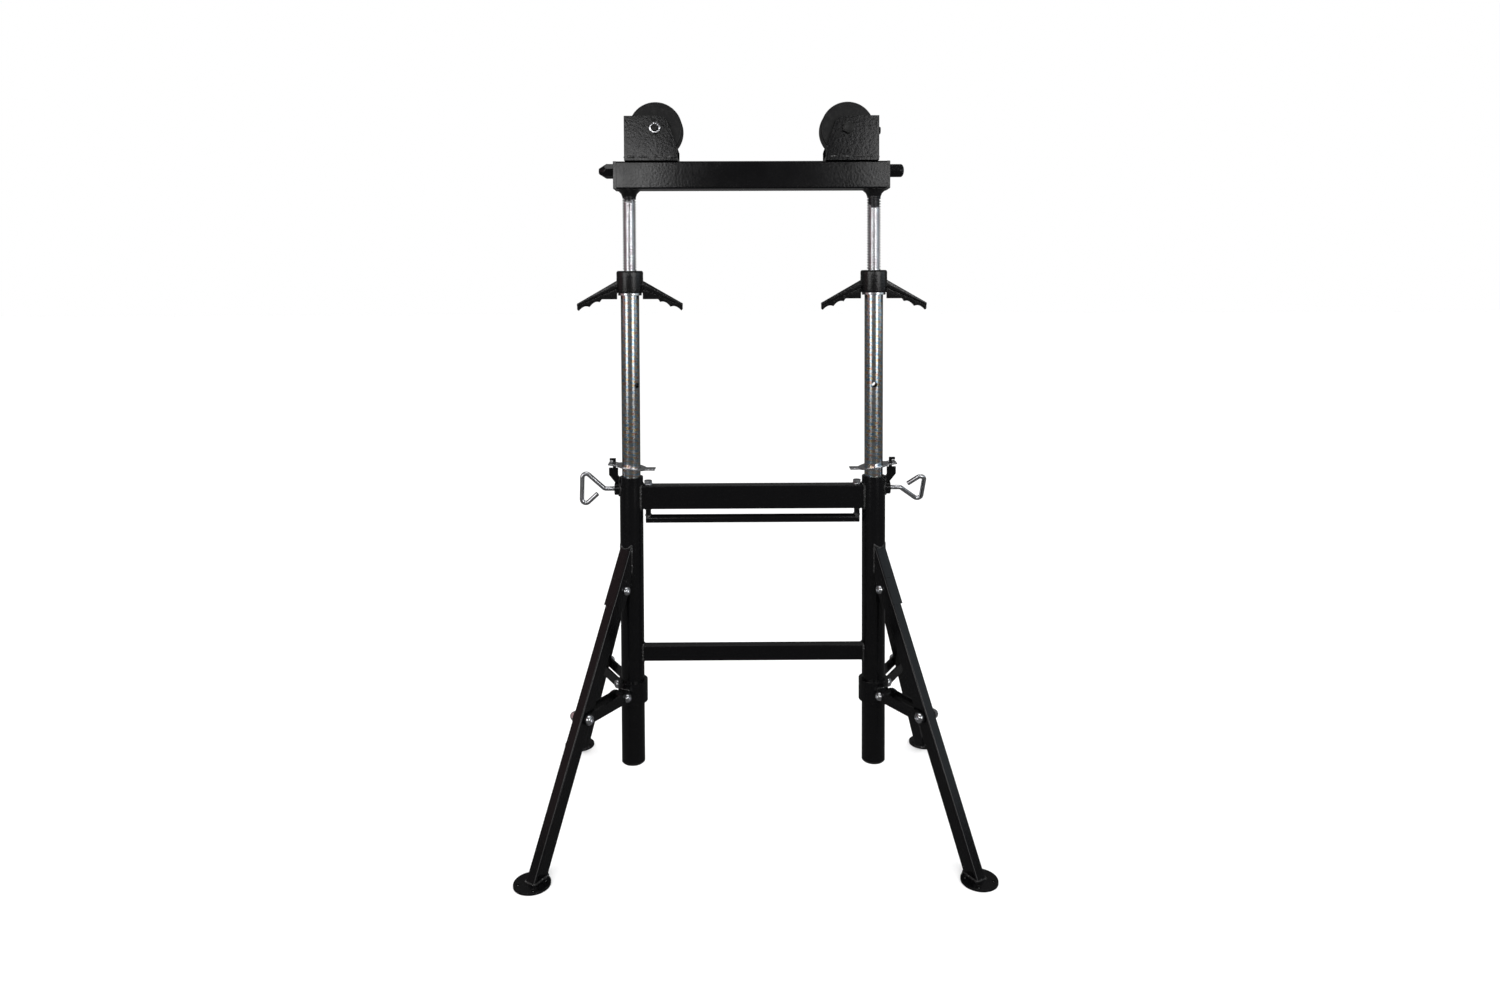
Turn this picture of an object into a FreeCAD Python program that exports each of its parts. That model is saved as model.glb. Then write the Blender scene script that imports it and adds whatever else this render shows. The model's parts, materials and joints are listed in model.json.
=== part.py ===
"""Adjustable pipe stand: two telescoping posts with screw jacks, a roller beam and four folding legs."""

import FreeCAD, Part
import math
import os

import Sketcher

# The driving sizes, in millimetres and degrees. Heights are above the floor.
SIZES = {
    "postSpacing": 457.2,
    "postRadius": 22.0,
    "postWall": 4.0,
    "postBottom": 91.0,
    "postTop": 632.5,
    "plugRim": 5.0,
    "plugRound": 2.0,
    "upperBarHeight": 45.0,
    "upperBarDepth": 25.0,
    "upperBarTop": 617.0,
    "lowerBarHeight": 30.0,
    "lowerBarDepth": 20.0,
    "lowerBarBottom": 282.0,
    "barWall": 2.5,
    "cornerRadius": 3.0,
    "handleRadius": 8.0,
    "handleHalf": 201.5,
    "handleDrop": 65.0,
    "handlePad": 9.0,
    "handleBoltRadius": 4.0,
    "handleWasher": 1.6,
    "handleBoltHead": 6.4,
    "legAzimuth": 60.0,
    "legTilt": 28.8,
    "legDepth": 30.0,
    "legWidth": 20.0,
    "legWall": 2.0,
    "legReach": 276.5,
    "footReach": 286.0,
    "footRadius": 31.0,
    "footThickness": 4.0,
    "anchorCircle": 23.0,
    "anchorRadius": 3.25,
    "sleeveWall": 2.5,
    "stubLength": 66.0,
    "tongueLength": 40.0,
    "sleeveLength": 49.0,
    "seamAbove": 15.2,
    "hingeReach": 36.5,
    "hingeHeight": 425.6,
    "tongueRadius": 11.0,
    "boltRadius": 5.0,
    "domeRadius": 8.5,
    "domeHeight": 6.0,
    "nutFlats": 16.0,
    "nutHeight": 7.0,
    "runningGap": 0.05,
    "toolReach": 900.0,
    "sideGap": 0.3,
    "collarRadius": 28.0,
    "collarHeight": 40.0,
    "collarBottom": 205.0,
    "lugHalf": 9.0,
    "collarBoltReach": 38.0,
    "braceBoltHeight": 228.0,
    "braceHeight": 20.0,
    "braceThickness": 4.0,
    "innerTubeRadius": 17.3,
    "innerTubeWall": 3.5,
    "innerTubeTop": 973.5,
    "innerTubeLength": 520.0,
    "pinHoleRadius": 5.0,
    "pinHoleDrop": 168.0,
    "screwRadius": 12.7,
    "screwLength": 300.0,
    "washerRadius": 22.0,
    "washerThickness": 4.5,
    "hubRadius": 25.4,
    "hubHeight": 41.5,
    "wingReach": 98.6,
    "wingInner": 15.0,
    "wingTop": 28.4,
    "wingSlope": 0.5735,
    "wingThickness": 16.0,
    "wingBand": 15.0,
    "wingTipBand": 4.0,
    "wingWeb": 8.0,
    "wingWebDrop": 11.5,
    "wingScallop": 4.0,
    "beamSize": 50.8,
    "beamWall": 3.0,
    "beamTop": 1220.8,
    "beamHalf": 255.5,
    "endPlate": 6.5,
    "spindleRadius": 8.0,
    "spindleDrop": 15.8,
    "spindleHexFlats": 24.0,
    "spindleHexLength": 18.5,
    "spindleTip": 10.5,
    "slotWidth": 14.0,
    "slotMargin": 3.0,
    "bearingLength": 24.0,
    "nutBlockLength": 30.0,
    "nutBlockWidth": 36.0,
    "nutBlockHeight": 26.0,
    "carriageTravelIn": 95.0,
    "carriageTravelOut": 14.0,
    "basePlate": 5.7,
    "baseLength": 98.0,
    "baseWidth": 66.0,
    "baseInner": 41.0,
    "forkWall": 4.0,
    "forkHeight": 75.7,
    "forkLean": 0.35,
    "forkKnee": 15.0,
    "forkRound": 20.0,
    "wheelOffset": 177.0,
    "wheelRadius": 49.5,
    "wheelWidth": 50.0,
    "axleRadius": 6.0,
    "axleAbove": 58.7,
    "axleFlats": 19.0,
    "axleHead": 7.5,
    "brakeRadius": 4.0,
    "brakeFlats": 13.0,
    "brakeHead": 6.5,
    "lockThickness": 3.0,
    "lockRadius": 30.0,
    "lockTipReach": 45.5,
    "lockHookReach": 43.0,
    "lockTilt": 9.2,
    "lockHeight": 656.0,
    "lockHoleGap": 0.95,
    "lockTabWidth": 22.0,
    "lockHeelWidth": 32.0,
    "lockSlotRoom": 5.0,
    "hookOffset": 31.8,
    "hookNeck": 5.5,
    "hookThickness": 5.0,
    "clampHeight": 609.5,
    "clampRadius": 4.3,
    "clampStem": 50.5,
    "clampLoop": 37.0,
    "clampLoopOut": 42.5,
    "clampBend": 7.4,
    "clampSpin": 212.0,
    "bossRadius": 12.0,
    "bossLength": 9.0,
}

doc = FreeCAD.newDocument("RollerStand")
sheet = doc.addObject("Spreadsheet::Sheet", "Sizes")
for rowNumber, (alias, number) in enumerate(SIZES.items(), start=1):
    sheet.set("A%d" % rowNumber, alias)
    sheet.set("B%d" % rowNumber, str(number))
    sheet.setAlias("B%d" % rowNumber, alias)
probe = doc.addObject("Spreadsheet::Sheet", "Probe")
doc.recompute()

UP = FreeCAD.Vector(0, 0, 1)
TO_RIGHT = FreeCAD.Vector(1, 0, 0)
TO_BACK = FreeCAD.Vector(0, 1, 0)
SIDES = {"left": -1, "right": 1}
LEGS = {
    "left_front": (-1, 180.0, 1),
    "left_rear": (-1, 180.0, -1),
    "right_front": (1, 0.0, -1),
    "right_rear": (1, 0.0, 1),
}
nodes = []


class Size:
    """Reads a size from the sheet by its alias."""

    def __getattr__(self, alias):
        return float(getattr(sheet, alias))


size = Size()


def valueOf(expression):
    """The number that an expression of the sheet's cells gives, read from a cell of the probe sheet."""
    probe.set("A1", "=" + expression)
    probe.recompute()
    return float(probe.get("A1"))


def vector(x, y, z):
    return FreeCAD.Vector(x, y, z)


def place(item, base, axis=UP, angle=0.0):
    """Moves an object: base is where its own origin goes."""
    item.Placement = FreeCAD.Placement(base, FreeCAD.Rotation(axis, angle))
    return item


def bind(item, **sizes):
    """Ties each named property to an expression of the sheet's cells."""
    for name, expression in sizes.items():
        item.setExpression(name, expression)
    return item


def cylinder(radius, length, base, axis=UP):
    """A cylinder that starts at base and runs along axis."""
    item = bind(doc.addObject("Part::Cylinder", "Rod"), Radius=radius, Height=length)
    item.Placement = FreeCAD.Placement(base, FreeCAD.Rotation(UP, axis))
    return item


def cone(radius, tip, length, base, axis=UP):
    item = bind(doc.addObject("Part::Cone", "Taper"), Radius1=radius, Radius2=tip, Height=length)
    item.Placement = FreeCAD.Placement(base, FreeCAD.Rotation(UP, axis))
    return item


def box(length, width, height, corner):
    """A box from its lowest corner, with edges along X, Y and Z."""
    item = bind(doc.addObject("Part::Box", "Block"), Length=length, Width=width, Height=height)
    return place(item, corner)


def hexagon(flats, length, base, axis=UP):
    """A hexagonal prism measured across its flats."""
    item = doc.addObject("Part::Prism", "Hex")
    item.Polygon = 6
    bind(item, Circumradius="(%s) / sqrt(3)" % flats, Height=length)
    item.Placement = FreeCAD.Placement(base, FreeCAD.Rotation(UP, axis))
    return item


def cut(base, *tools):
    for tool in tools:
        result = doc.addObject("Part::Cut", "Trimmed")
        result.Base = base
        result.Tool = tool
        base = result
    return base


def fuse(*pieces):
    result = doc.addObject("Part::MultiFuse", "Welded")
    result.Shapes = list(pieces)
    return result


def group(*pieces):
    result = doc.addObject("Part::Compound", "Group")
    result.Links = list(pieces)
    return result


def node(label, item):
    """Names a finished sub-part: its label is its file's name."""
    item.Label = label
    nodes.append(item)
    return item


def originPlane(body, role):
    return [plane for plane in body.Origin.OriginFeatures if plane.Role == role][0]


def newSketch(body, role):
    sketch = body.newObject("Sketcher::SketchObject", "Outline")
    sketch.AttachmentSupport = [(originPlane(body, role), "")]
    sketch.MapMode = "FlatFace"
    return sketch


def drawCircle(sketch, radius, at=(None, None)):
    """A circle about the origin or about a point given by two expressions."""
    index = sketch.addGeometry(Part.Circle(vector(1, 1, 0), UP, 5.0), False)
    ring = sketch.addConstraint(Sketcher.Constraint("Radius", index, 5.0))
    sketch.setExpression("Constraints[%d]" % ring, radius)
    if at[0] is None:
        sketch.addConstraint(Sketcher.Constraint("Coincident", index, 3, -1, 1))
        return
    for kind, expression in (("DistanceX", at[0]), ("DistanceY", at[1])):
        reach = sketch.addConstraint(Sketcher.Constraint(kind, -1, 1, index, 3, 1.0))
        sketch.setExpression("Constraints[%d]" % reach, expression)


def drawOutline(sketch, points):
    """A closed outline through points, each a pair of expressions."""
    corners = [vector(valueOf(x), valueOf(y), 0) for x, y in points]
    count = len(corners)
    for k in range(count):
        sketch.addGeometry(Part.LineSegment(corners[k], corners[(k + 1) % count]), False)
    for k in range(count):
        sketch.addConstraint(Sketcher.Constraint("Coincident", k, 2, (k + 1) % count, 1))
    for k, point in enumerate(points):
        for kind, axis, expression in (("DistanceX", 0, point[0]), ("DistanceY", 1, point[1])):
            if abs(corners[k][axis]) < 1e-9:
                sketch.addConstraint(Sketcher.Constraint("PointOnObject", k, 1, axis - 2 if axis else -2))
                continue
            reach = sketch.addConstraint(Sketcher.Constraint(kind, -1, 1, k, 1, corners[k][axis]))
            sketch.setExpression("Constraints[%d]" % reach, expression)


def padded(draw, role, length, symmetric=False):
    """A body whose one sketch is padded along the plane's normal."""
    body = doc.addObject("PartDesign::Body", "Body")
    sketch = newSketch(body, role)
    draw(sketch)
    pad = body.newObject("PartDesign::Pad", "Pad")
    pad.Profile = sketch
    pad.Midplane = symmetric
    pad.setExpression("Length", length)
    body.Tip = pad
    doc.recompute()
    return body


def pocketed(body, draw, role):
    """Cuts a sketch right through a body, both ways from its plane."""
    sketch = newSketch(body, role)
    draw(sketch)
    before = body.Shape.Volume
    pocket = body.newObject("PartDesign::Pocket", "Pocket")
    pocket.Profile = sketch
    pocket.Type = 1
    pocket.Midplane = True
    body.Tip = pocket
    doc.recompute()
    if not body.Shape.Volume < before:
        raise RuntimeError("a pocket cut nothing")
    return body


def revolved(points):
    """A body turned about Z from an outline of radius and height pairs."""
    body = doc.addObject("PartDesign::Body", "Body")
    sketch = newSketch(body, "XZ_Plane")
    drawOutline(sketch, points)
    turn = body.newObject("PartDesign::Revolution", "Revolution")
    turn.Profile = sketch
    turn.ReferenceAxis = (sketch, ["V_Axis"])
    turn.Angle = 360.0
    body.Tip = turn
    doc.recompute()
    return body


def rounded(body, radius, chosen):
    """Rounds the straight edges of a body's tip that the test chooses."""
    base = body.Tip
    names = []
    for k, edge in enumerate(base.Shape.Edges, start=1):
        if edge.Curve.TypeId == "Part::GeomLine" and chosen(edge):
            names.append("Edge%d" % k)
    fillet = body.newObject("PartDesign::Fillet", "Fillet")
    fillet.Base = (base, names)
    fillet.setExpression("Radius", radius)
    body.Tip = fillet
    doc.recompute()
    return body


def along(axis):
    """Chooses edges that run along one of the body's own axes."""

    def chosen(edge):
        return abs(abs(edge.tangentAt(edge.FirstParameter).dot(axis)) - 1) < 1e-6

    return chosen


def rectangularTube(width, depth, length, wall, symmetric=False):
    """A tube along Z with rounded outer corners."""
    half = ("(%s) / 2" % width, "(%s) / 2" % depth)
    inner = ("(%s) / 2 - %s" % (width, wall), "(%s) / 2 - %s" % (depth, wall))

    def frameOf(pair):
        x, y = pair
        return [("-(%s)" % x, "-(%s)" % y), (x, "-(%s)" % y), (x, y), ("-(%s)" % x, y)]

    body = padded(lambda sketch: drawOutline(sketch, frameOf(half)), "XY_Plane", length, symmetric)
    rounded(body, "Sizes.cornerRadius", along(UP))
    return pocketed(body, lambda sketch: drawOutline(sketch, frameOf(inner)), "XY_Plane")


def roundTube(radius, wall, length):
    def draw(sketch):
        drawCircle(sketch, radius)
        drawCircle(sketch, "%s - %s" % (radius, wall))

    return padded(draw, "XY_Plane", length)


halfSpacing = size.postSpacing / 2
legSlope = math.tan(math.radians(size.legTilt))


def legRadius(height):
    """How far the leg's centre line is from the post's, at a height."""
    return size.legReach - height * legSlope


def legPlacement(name):
    """The frame of one leg: X points away from the post and Z up, on the post's centre line."""
    side, facing, turn = LEGS[name]
    rotation = FreeCAD.Rotation(UP, facing + turn * size.legAzimuth)
    return FreeCAD.Placement(vector(side * halfSpacing, 0, 0), rotation)


def leaning(item, base):
    """Puts an item in the leg's tilted frame: its Z runs up the leg and X out of its outer face."""
    item.Placement = FreeCAD.Placement(base, FreeCAD.Rotation(TO_BACK, -size.legTilt))
    return item


def headSide(name):
    """The side of the leg that the bolt heads are on."""
    return -LEGS[name][0]


hingePoint = vector(size.hingeReach, 0, size.hingeHeight)
hingeOffset = (legRadius(size.hingeHeight) - size.hingeReach) * math.cos(math.radians(size.legTilt))


# Posts, crossbars and the carrying handle


def buildPosts():
    for name, side in SIDES.items():
        tube = roundTube("Sizes.postRadius", "Sizes.postWall", "Sizes.postTop - Sizes.postBottom")
        place(tube, vector(side * halfSpacing, 0, size.postBottom))
        screwHole = cylinder(
            "Sizes.clampRadius + Sizes.runningGap",
            "Sizes.postRadius",
            vector(side * (halfSpacing + size.innerTubeRadius), 0, size.clampHeight),
            TO_RIGHT * side,
        )
        node(name + "_post", cut(tube, screwHole))
    plugs = []
    inner = "Sizes.postRadius - Sizes.postWall"
    for side in SIDES.values():
        plug = revolved(
            [
                ("0", "0"),
                ("Sizes.postRadius - Sizes.plugRound", "0"),
                ("Sizes.postRadius", "Sizes.plugRound"),
                ("Sizes.postRadius", "Sizes.plugRim"),
                (inner, "Sizes.plugRim"),
                (inner, "Sizes.plugRim * 3"),
                ("0", "Sizes.plugRim * 3"),
            ]
        )
        plugs.append(place(plug, vector(side * halfSpacing, 0, size.postBottom - size.plugRim)))
    node("post_plugs", group(*plugs))


def buildCrossbar(label, height, depth, middle, holes):
    """A rectangular tube between the posts, its ends cut to the posts' round."""
    tube = rectangularTube(height, depth, "Sizes.postSpacing", "Sizes.barWall", True)
    place(tube, vector(0, 0, middle), TO_BACK, 90)
    low = middle - size.toolReach / 2
    posts = [
        cylinder("Sizes.postRadius", "Sizes.toolReach", vector(side * halfSpacing, 0, low))
        for side in SIDES.values()
    ]
    node(label, cut(tube, *posts, *holes))


def buildFrameBars():
    boltAt = size.handleHalf - size.handlePad / 2
    low = size.upperBarTop - size.handleDrop
    holes = [
        cylinder("Sizes.handleBoltRadius", "Sizes.handleDrop", vector(x, 0, low))
        for x in (-boltAt, boltAt)
    ]
    upperMiddle = size.upperBarTop - size.upperBarHeight / 2
    lowerMiddle = size.lowerBarBottom + size.lowerBarHeight / 2
    buildCrossbar("upper_crossbar", "Sizes.upperBarHeight", "Sizes.upperBarDepth", upperMiddle, holes)
    buildCrossbar("lower_crossbar", "Sizes.lowerBarHeight", "Sizes.lowerBarDepth", lowerMiddle, [])


def buildHandle():
    rodHeight = size.upperBarTop - size.handleDrop
    padTop = size.upperBarTop - size.upperBarHeight
    rodStart = vector(-size.handleHalf, 0, rodHeight)
    rod = cylinder("Sizes.handleRadius", "2 * Sizes.handleHalf", rodStart, TO_RIGHT)
    pads = []
    sockets = []
    bolts = []
    padDepth = size.handleRadius * 1.75
    for side in SIDES.values():
        middle = side * (size.handleHalf - size.handlePad / 2)
        corner = vector(middle - size.handlePad / 2, -padDepth / 2, rodHeight)
        pads.append(
            box(
                "Sizes.handlePad",
                "Sizes.handleRadius * 1.75",
                "Sizes.handleDrop - Sizes.upperBarHeight",
                corner,
            )
        )
        socketBase = vector(middle, 0, rodHeight)
        sockets.append(cylinder("Sizes.handleBoltRadius", "Sizes.handleDrop", socketBase))
        shank = cylinder("Sizes.handleBoltRadius", "Sizes.handleDrop", socketBase)
        washerBase = vector(middle, 0, size.upperBarTop)
        washer = cylinder("Sizes.handleBoltRadius * 2.1", "Sizes.handleWasher", washerBase)
        headBase = vector(middle, 0, size.upperBarTop + size.handleWasher)
        head = hexagon("Sizes.handleBoltRadius * 3.5", "Sizes.handleBoltHead", headBase)
        bolts.append(fuse(shank, washer, head))
    node("handle_rod", cut(fuse(rod, *pads), *sockets))
    node("handle_bolts", group(*bolts))
    if padTop <= rodHeight:
        raise RuntimeError("the handle hangs inside the crossbar")


# Leg hinges, legs and feet


def throughBolt(reach, height, grip, side):
    """A domed bolt across the leg's frame, with its nut: the head is on the given side."""
    across = TO_BACK * side
    half = valueOf(grip) / 2
    start = vector(reach, -side * (half + size.nutHeight + 2), height)
    shank = cylinder("Sizes.boltRadius", "%s + Sizes.nutHeight + 2.5" % grip, start, across)
    headBase = vector(reach, side * half, height)
    head = cone("Sizes.domeRadius", "Sizes.domeRadius * 0.55", "Sizes.domeHeight", headBase, across)
    nut = hexagon("Sizes.nutFlats", "Sizes.nutHeight", vector(reach, -side * half, height), across * -1)
    bore = cylinder("Sizes.boltRadius", "Sizes.nutHeight", vector(reach, -side * half, height), across * -1)
    return fuse(shank, head), cut(nut, bore)


def buildLegStubs():
    """Stubs welded to the posts, each with the tongue that the leg's sleeve hinges on."""
    stubs = []
    bolts = []
    outerDepth = "Sizes.legDepth + 2 * Sizes.sleeveWall"
    outerWidth = "Sizes.legWidth + 2 * Sizes.sleeveWall"
    seam = size.seamAbove + size.sideGap
    for name in LEGS:
        frame = legPlacement(name)
        tube = rectangularTube(outerDepth, outerWidth, "Sizes.stubLength", "Sizes.sleeveWall")
        leaning(tube, hingePoint + leanVector(hingeOffset, seam))
        tongueBox = box(
            "2 * Sizes.tongueRadius",
            "Sizes.legWidth - 2 * Sizes.sideGap",
            "Sizes.tongueLength",
            vector(0, 0, 0),
        )
        half = size.legWidth / 2 - size.sideGap
        leaning(tongueBox, hingePoint + leanVector(-size.tongueRadius, 0) + vector(0, -half, 0))
        tongueStart = hingePoint + vector(0, -half, 0)
        tongueEnd = cylinder("Sizes.tongueRadius", "Sizes.legWidth - 2 * Sizes.sideGap", tongueStart, TO_BACK)
        boreStart = hingePoint + vector(0, -size.legWidth / 2, 0)
        bore = cylinder("Sizes.boltRadius", "Sizes.legWidth", boreStart, TO_BACK)
        postLow = vector(0, 0, size.hingeHeight - size.toolReach / 2)
        postRound = cylinder("Sizes.postRadius", "Sizes.toolReach", postLow)
        stub = cut(fuse(tube, tongueBox, tongueEnd), postRound, bore)
        stub.Placement = frame
        stubs.append(stub)
        bolt, nut = throughBolt(
            size.hingeReach,
            size.hingeHeight,
            "Sizes.legWidth + 2 * Sizes.sleeveWall + 2 * Sizes.sideGap",
            headSide(name),
        )
        bolt.Placement = frame
        nut.Placement = frame
        bolts += [bolt, nut]
    if size.stubLength * math.sin(math.radians(size.legTilt)) < size.postRadius:
        raise RuntimeError("a stub is too short to reach its post")
    node("leg_stubs", group(*stubs))
    node("hinge_bolts", group(*bolts))


def leanVector(outward, upward):
    """A step in the leg's tilted frame, as a step in the leg's upright frame."""
    tilt = math.radians(size.legTilt)
    return vector(
        outward * math.cos(tilt) - upward * math.sin(tilt),
        0,
        outward * math.sin(tilt) + upward * math.cos(tilt),
    )


def buildSleeve(name):
    """A channel welded round the leg's top, open towards the post and rounded to swing under the seam."""
    depth = "Sizes.legDepth + 2 * Sizes.sleeveWall"
    width = "Sizes.legWidth + 2 * Sizes.sleeveWall"
    inner = size.legDepth / 2 + size.sleeveWall
    low = size.seamAbove - size.sleeveLength
    shell = rectangularTube(depth, width, "Sizes.sleeveLength", "Sizes.sleeveWall")
    leaning(shell, hingePoint + leanVector(hingeOffset, low))
    mouth = box("Sizes.sleeveWall * 2", "Sizes.legWidth", "Sizes.sleeveLength * 2", vector(0, 0, 0))
    mouthAt = leanVector(hingeOffset - inner - size.sleeveWall, low - size.sleeveLength / 2)
    leaning(mouth, hingePoint + mouthAt + vector(0, -size.legWidth / 2, 0))
    across = "3 * Sizes.legWidth"
    aside = vector(0, -1.5 * size.legWidth, 0)
    swing = cylinder("Sizes.seamAbove", across, hingePoint + aside, TO_BACK)
    corner = box("Sizes.legDepth", across, "Sizes.legDepth", vector(0, 0, 0))
    leaning(corner, hingePoint + leanVector(-size.legDepth, 0) + aside)
    trim = cut(corner, swing)
    hole = cylinder("Sizes.boltRadius + Sizes.runningGap", across, hingePoint + aside, TO_BACK)
    sleeve = cut(shell, mouth, trim, hole)
    sleeve.Placement = legPlacement(name)
    node(name + "_sleeve", sleeve)


def buildLeg(name):
    """The leg's tube down to its foot, and the plain middle of the brace bolt inside it."""
    topGap = size.tongueRadius + 2
    frame = legPlacement(name)
    tube = rectangularTube("Sizes.legDepth", "Sizes.legWidth", "Sizes.toolReach", "Sizes.legWall")
    leaning(tube, hingePoint + leanVector(hingeOffset, -topGap - size.toolReach))
    floorSide = size.toolReach * 2
    floorCorner = vector(-size.toolReach / 2, -size.toolReach, size.footThickness - floorSide)
    floorCut = box("2 * Sizes.toolReach", "2 * Sizes.toolReach", "2 * Sizes.toolReach", floorCorner)
    boltReach = legRadius(size.braceBoltHeight)
    start = vector(boltReach, -size.legWidth / 2, size.braceBoltHeight)
    hole = cylinder("Sizes.boltRadius", "Sizes.legWidth", start, TO_BACK)
    leg = cut(tube, floorCut, hole)
    pin = cylinder("Sizes.boltRadius", "Sizes.legWidth", start, TO_BACK)
    item = group(leg, pin)
    item.Placement = frame
    node(name + "_leg", item)


def buildFoot(name):
    """A round foot plate with four anchor holes."""
    body = padded(lambda sketch: drawCircle(sketch, "Sizes.footRadius"), "XY_Plane", "Sizes.footThickness")
    hole = newSketch(body, "XY_Plane")
    diagonal = "Sizes.anchorCircle * cos(45)"
    drawCircle(hole, "Sizes.anchorRadius", (diagonal, diagonal))
    before = body.Shape.Volume
    pocket = body.newObject("PartDesign::Pocket", "AnchorHole")
    pocket.Profile = hole
    pocket.Type = 1
    pocket.Midplane = True
    pattern = body.newObject("PartDesign::PolarPattern", "AnchorHoles")
    pattern.Originals = [pocket]
    pattern.Axis = (hole, ["N_Axis"])
    pattern.Angle = 360.0
    pattern.Occurrences = 4
    body.Tip = pattern
    doc.recompute()
    removed = before - body.Shape.Volume
    expected = 4 * math.pi * size.anchorRadius**2 * size.footThickness
    if abs(removed - expected) > 0.01 * expected:
        raise RuntimeError("the foot plate's anchor holes are missing")
    frame = legPlacement(name)
    body.Placement = frame.multiply(FreeCAD.Placement(vector(size.footReach, 0, 0), FreeCAD.Rotation()))
    node(name + "_foot", body)


# Collars and braces


collarBoltHeight = size.collarBottom + size.collarHeight / 2


def buildCollar(side):
    """A ring that slides on the post, with one lug for each brace."""
    wall = "(Sizes.collarRadius - Sizes.postRadius - Sizes.sideGap)"
    ring = roundTube("Sizes.collarRadius", wall, "Sizes.collarHeight")
    place(ring, vector(0, 0, size.collarBottom))
    lugs = []
    bolts = []
    names = [name for name in LEGS if name.startswith(side)]
    boreBase = vector(0, 0, size.collarBottom - size.collarHeight / 2)
    bore = cylinder("Sizes.postRadius + Sizes.sideGap", "Sizes.collarHeight * 2", boreBase)
    holes = []
    origin = vector(SIDES[side] * halfSpacing, 0, 0)
    grip = "Sizes.legWidth + 2 * Sizes.braceThickness + 4 * Sizes.sideGap"
    for name in names:
        turn = legPlacement(name).Rotation
        lugCorner = turn.multVec(vector(0, -size.legWidth / 2, collarBoltHeight - size.lugHalf))
        block = box("Sizes.collarBoltReach", "Sizes.legWidth", "2 * Sizes.lugHalf", lugCorner)
        block.Placement.Rotation = turn
        across = turn.multVec(TO_BACK)
        start = turn.multVec(vector(size.collarBoltReach, -size.legWidth / 2, collarBoltHeight))
        lugs += [block, cylinder("Sizes.lugHalf", "Sizes.legWidth", start, across)]
        holes.append(cylinder("Sizes.boltRadius", "Sizes.legWidth", start, across))
        for piece in throughBolt(size.collarBoltReach, collarBoltHeight, grip, headSide(name)):
            piece.Placement = FreeCAD.Placement(origin, turn)
            bolts.append(piece)
    collar = cut(fuse(ring, *lugs), bore, *holes)
    node(side + "_collar", place(collar, origin))
    node(side + "_collar_bolts", group(*bolts))


def buildBrace(name):
    """Two flat bars, one on each side of the leg, and the head and nut of the bolt at their leg end."""
    reach = legRadius(size.braceBoltHeight) - size.collarBoltReach
    rise = size.braceBoltHeight - collarBoltHeight
    length = math.hypot(reach, rise)
    angle = -math.degrees(math.atan2(rise, reach))
    inner = size.legWidth / 2 + size.sideGap
    start = vector(size.collarBoltReach, 0, collarBoltHeight)
    frame = legPlacement(name)
    bars = []
    for side in (-1, 1):
        far = inner + size.braceThickness if side > 0 else -inner
        body = padded(drawBar(length), "XZ_Plane", "Sizes.braceThickness")
        body.Placement = FreeCAD.Placement(start + vector(0, far, 0), FreeCAD.Rotation(TO_BACK, angle))
        bars.append(body)
    item = group(*bars)
    item.Placement = frame
    node(name + "_brace", item)
    end = vector(legRadius(size.braceBoltHeight), 0, size.braceBoltHeight)
    side = headSide(name)
    across = TO_BACK * side
    outer = inner + size.braceThickness + size.sideGap
    grip = "Sizes.braceThickness + Sizes.sideGap"
    headStub = cylinder("Sizes.boltRadius", grip, end + across * inner, across)
    headBase = end + across * outer
    head = cone("Sizes.domeRadius", "Sizes.domeRadius * 0.55", "Sizes.domeHeight", headBase, across)
    nutStub = cylinder("Sizes.boltRadius", grip + " + Sizes.nutHeight + 2", end - across * inner, across * -1)
    nut = hexagon("Sizes.nutFlats", "Sizes.nutHeight", end - across * outer, across * -1)
    ends = group(fuse(headStub, head), fuse(nutStub, nut))
    ends.Placement = frame
    node(name + "_brace_bolt", ends)


def drawBar(length):
    """A flat bar's outline from the collar bolt at the origin to the leg bolt, with round ends."""

    def draw(sketch):
        half = size.braceHeight / 2
        quarter = math.pi / 2
        top = sketch.addGeometry(Part.LineSegment(vector(0, half, 0), vector(length, half, 0)), False)
        low = sketch.addGeometry(Part.LineSegment(vector(0, -half, 0), vector(length, -half, 0)), False)
        nearCircle = Part.Circle(vector(0, 0, 0), UP, half)
        farCircle = Part.Circle(vector(length, 0, 0), UP, half)
        near = sketch.addGeometry(Part.ArcOfCircle(nearCircle, quarter, 3 * quarter), False)
        far = sketch.addGeometry(Part.ArcOfCircle(farCircle, -quarter, quarter), False)
        joins = ((top, 1, near, 1), (low, 1, near, 2), (low, 2, far, 1), (top, 2, far, 2))
        for line, lineEnd, arc, arcEnd in joins:
            sketch.addConstraint(Sketcher.Constraint("Tangent", line, lineEnd, arc, arcEnd))
        sketch.addConstraint(Sketcher.Constraint("Equal", near, far))
        sketch.addConstraint(Sketcher.Constraint("Coincident", near, 3, -1, 1))
        sketch.addConstraint(Sketcher.Constraint("PointOnObject", far, 3, -1))
        sketch.addConstraint(Sketcher.Constraint("DistanceX", -1, 1, far, 3, length))
        width = sketch.addConstraint(Sketcher.Constraint("Radius", near, half))
        sketch.setExpression("Constraints[%d]" % width, "Sizes.braceHeight / 2")
        drawCircle(sketch, "Sizes.boltRadius + Sizes.runningGap")
        index = sketch.addGeometry(Part.Circle(vector(length, 0, 0), UP, size.boltRadius), False)
        sketch.addConstraint(Sketcher.Constraint("Coincident", index, 3, far, 3))
        hole = sketch.addConstraint(Sketcher.Constraint("Radius", index, size.boltRadius))
        sketch.setExpression("Constraints[%d]" % hole, "Sizes.boltRadius")

    return draw


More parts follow.
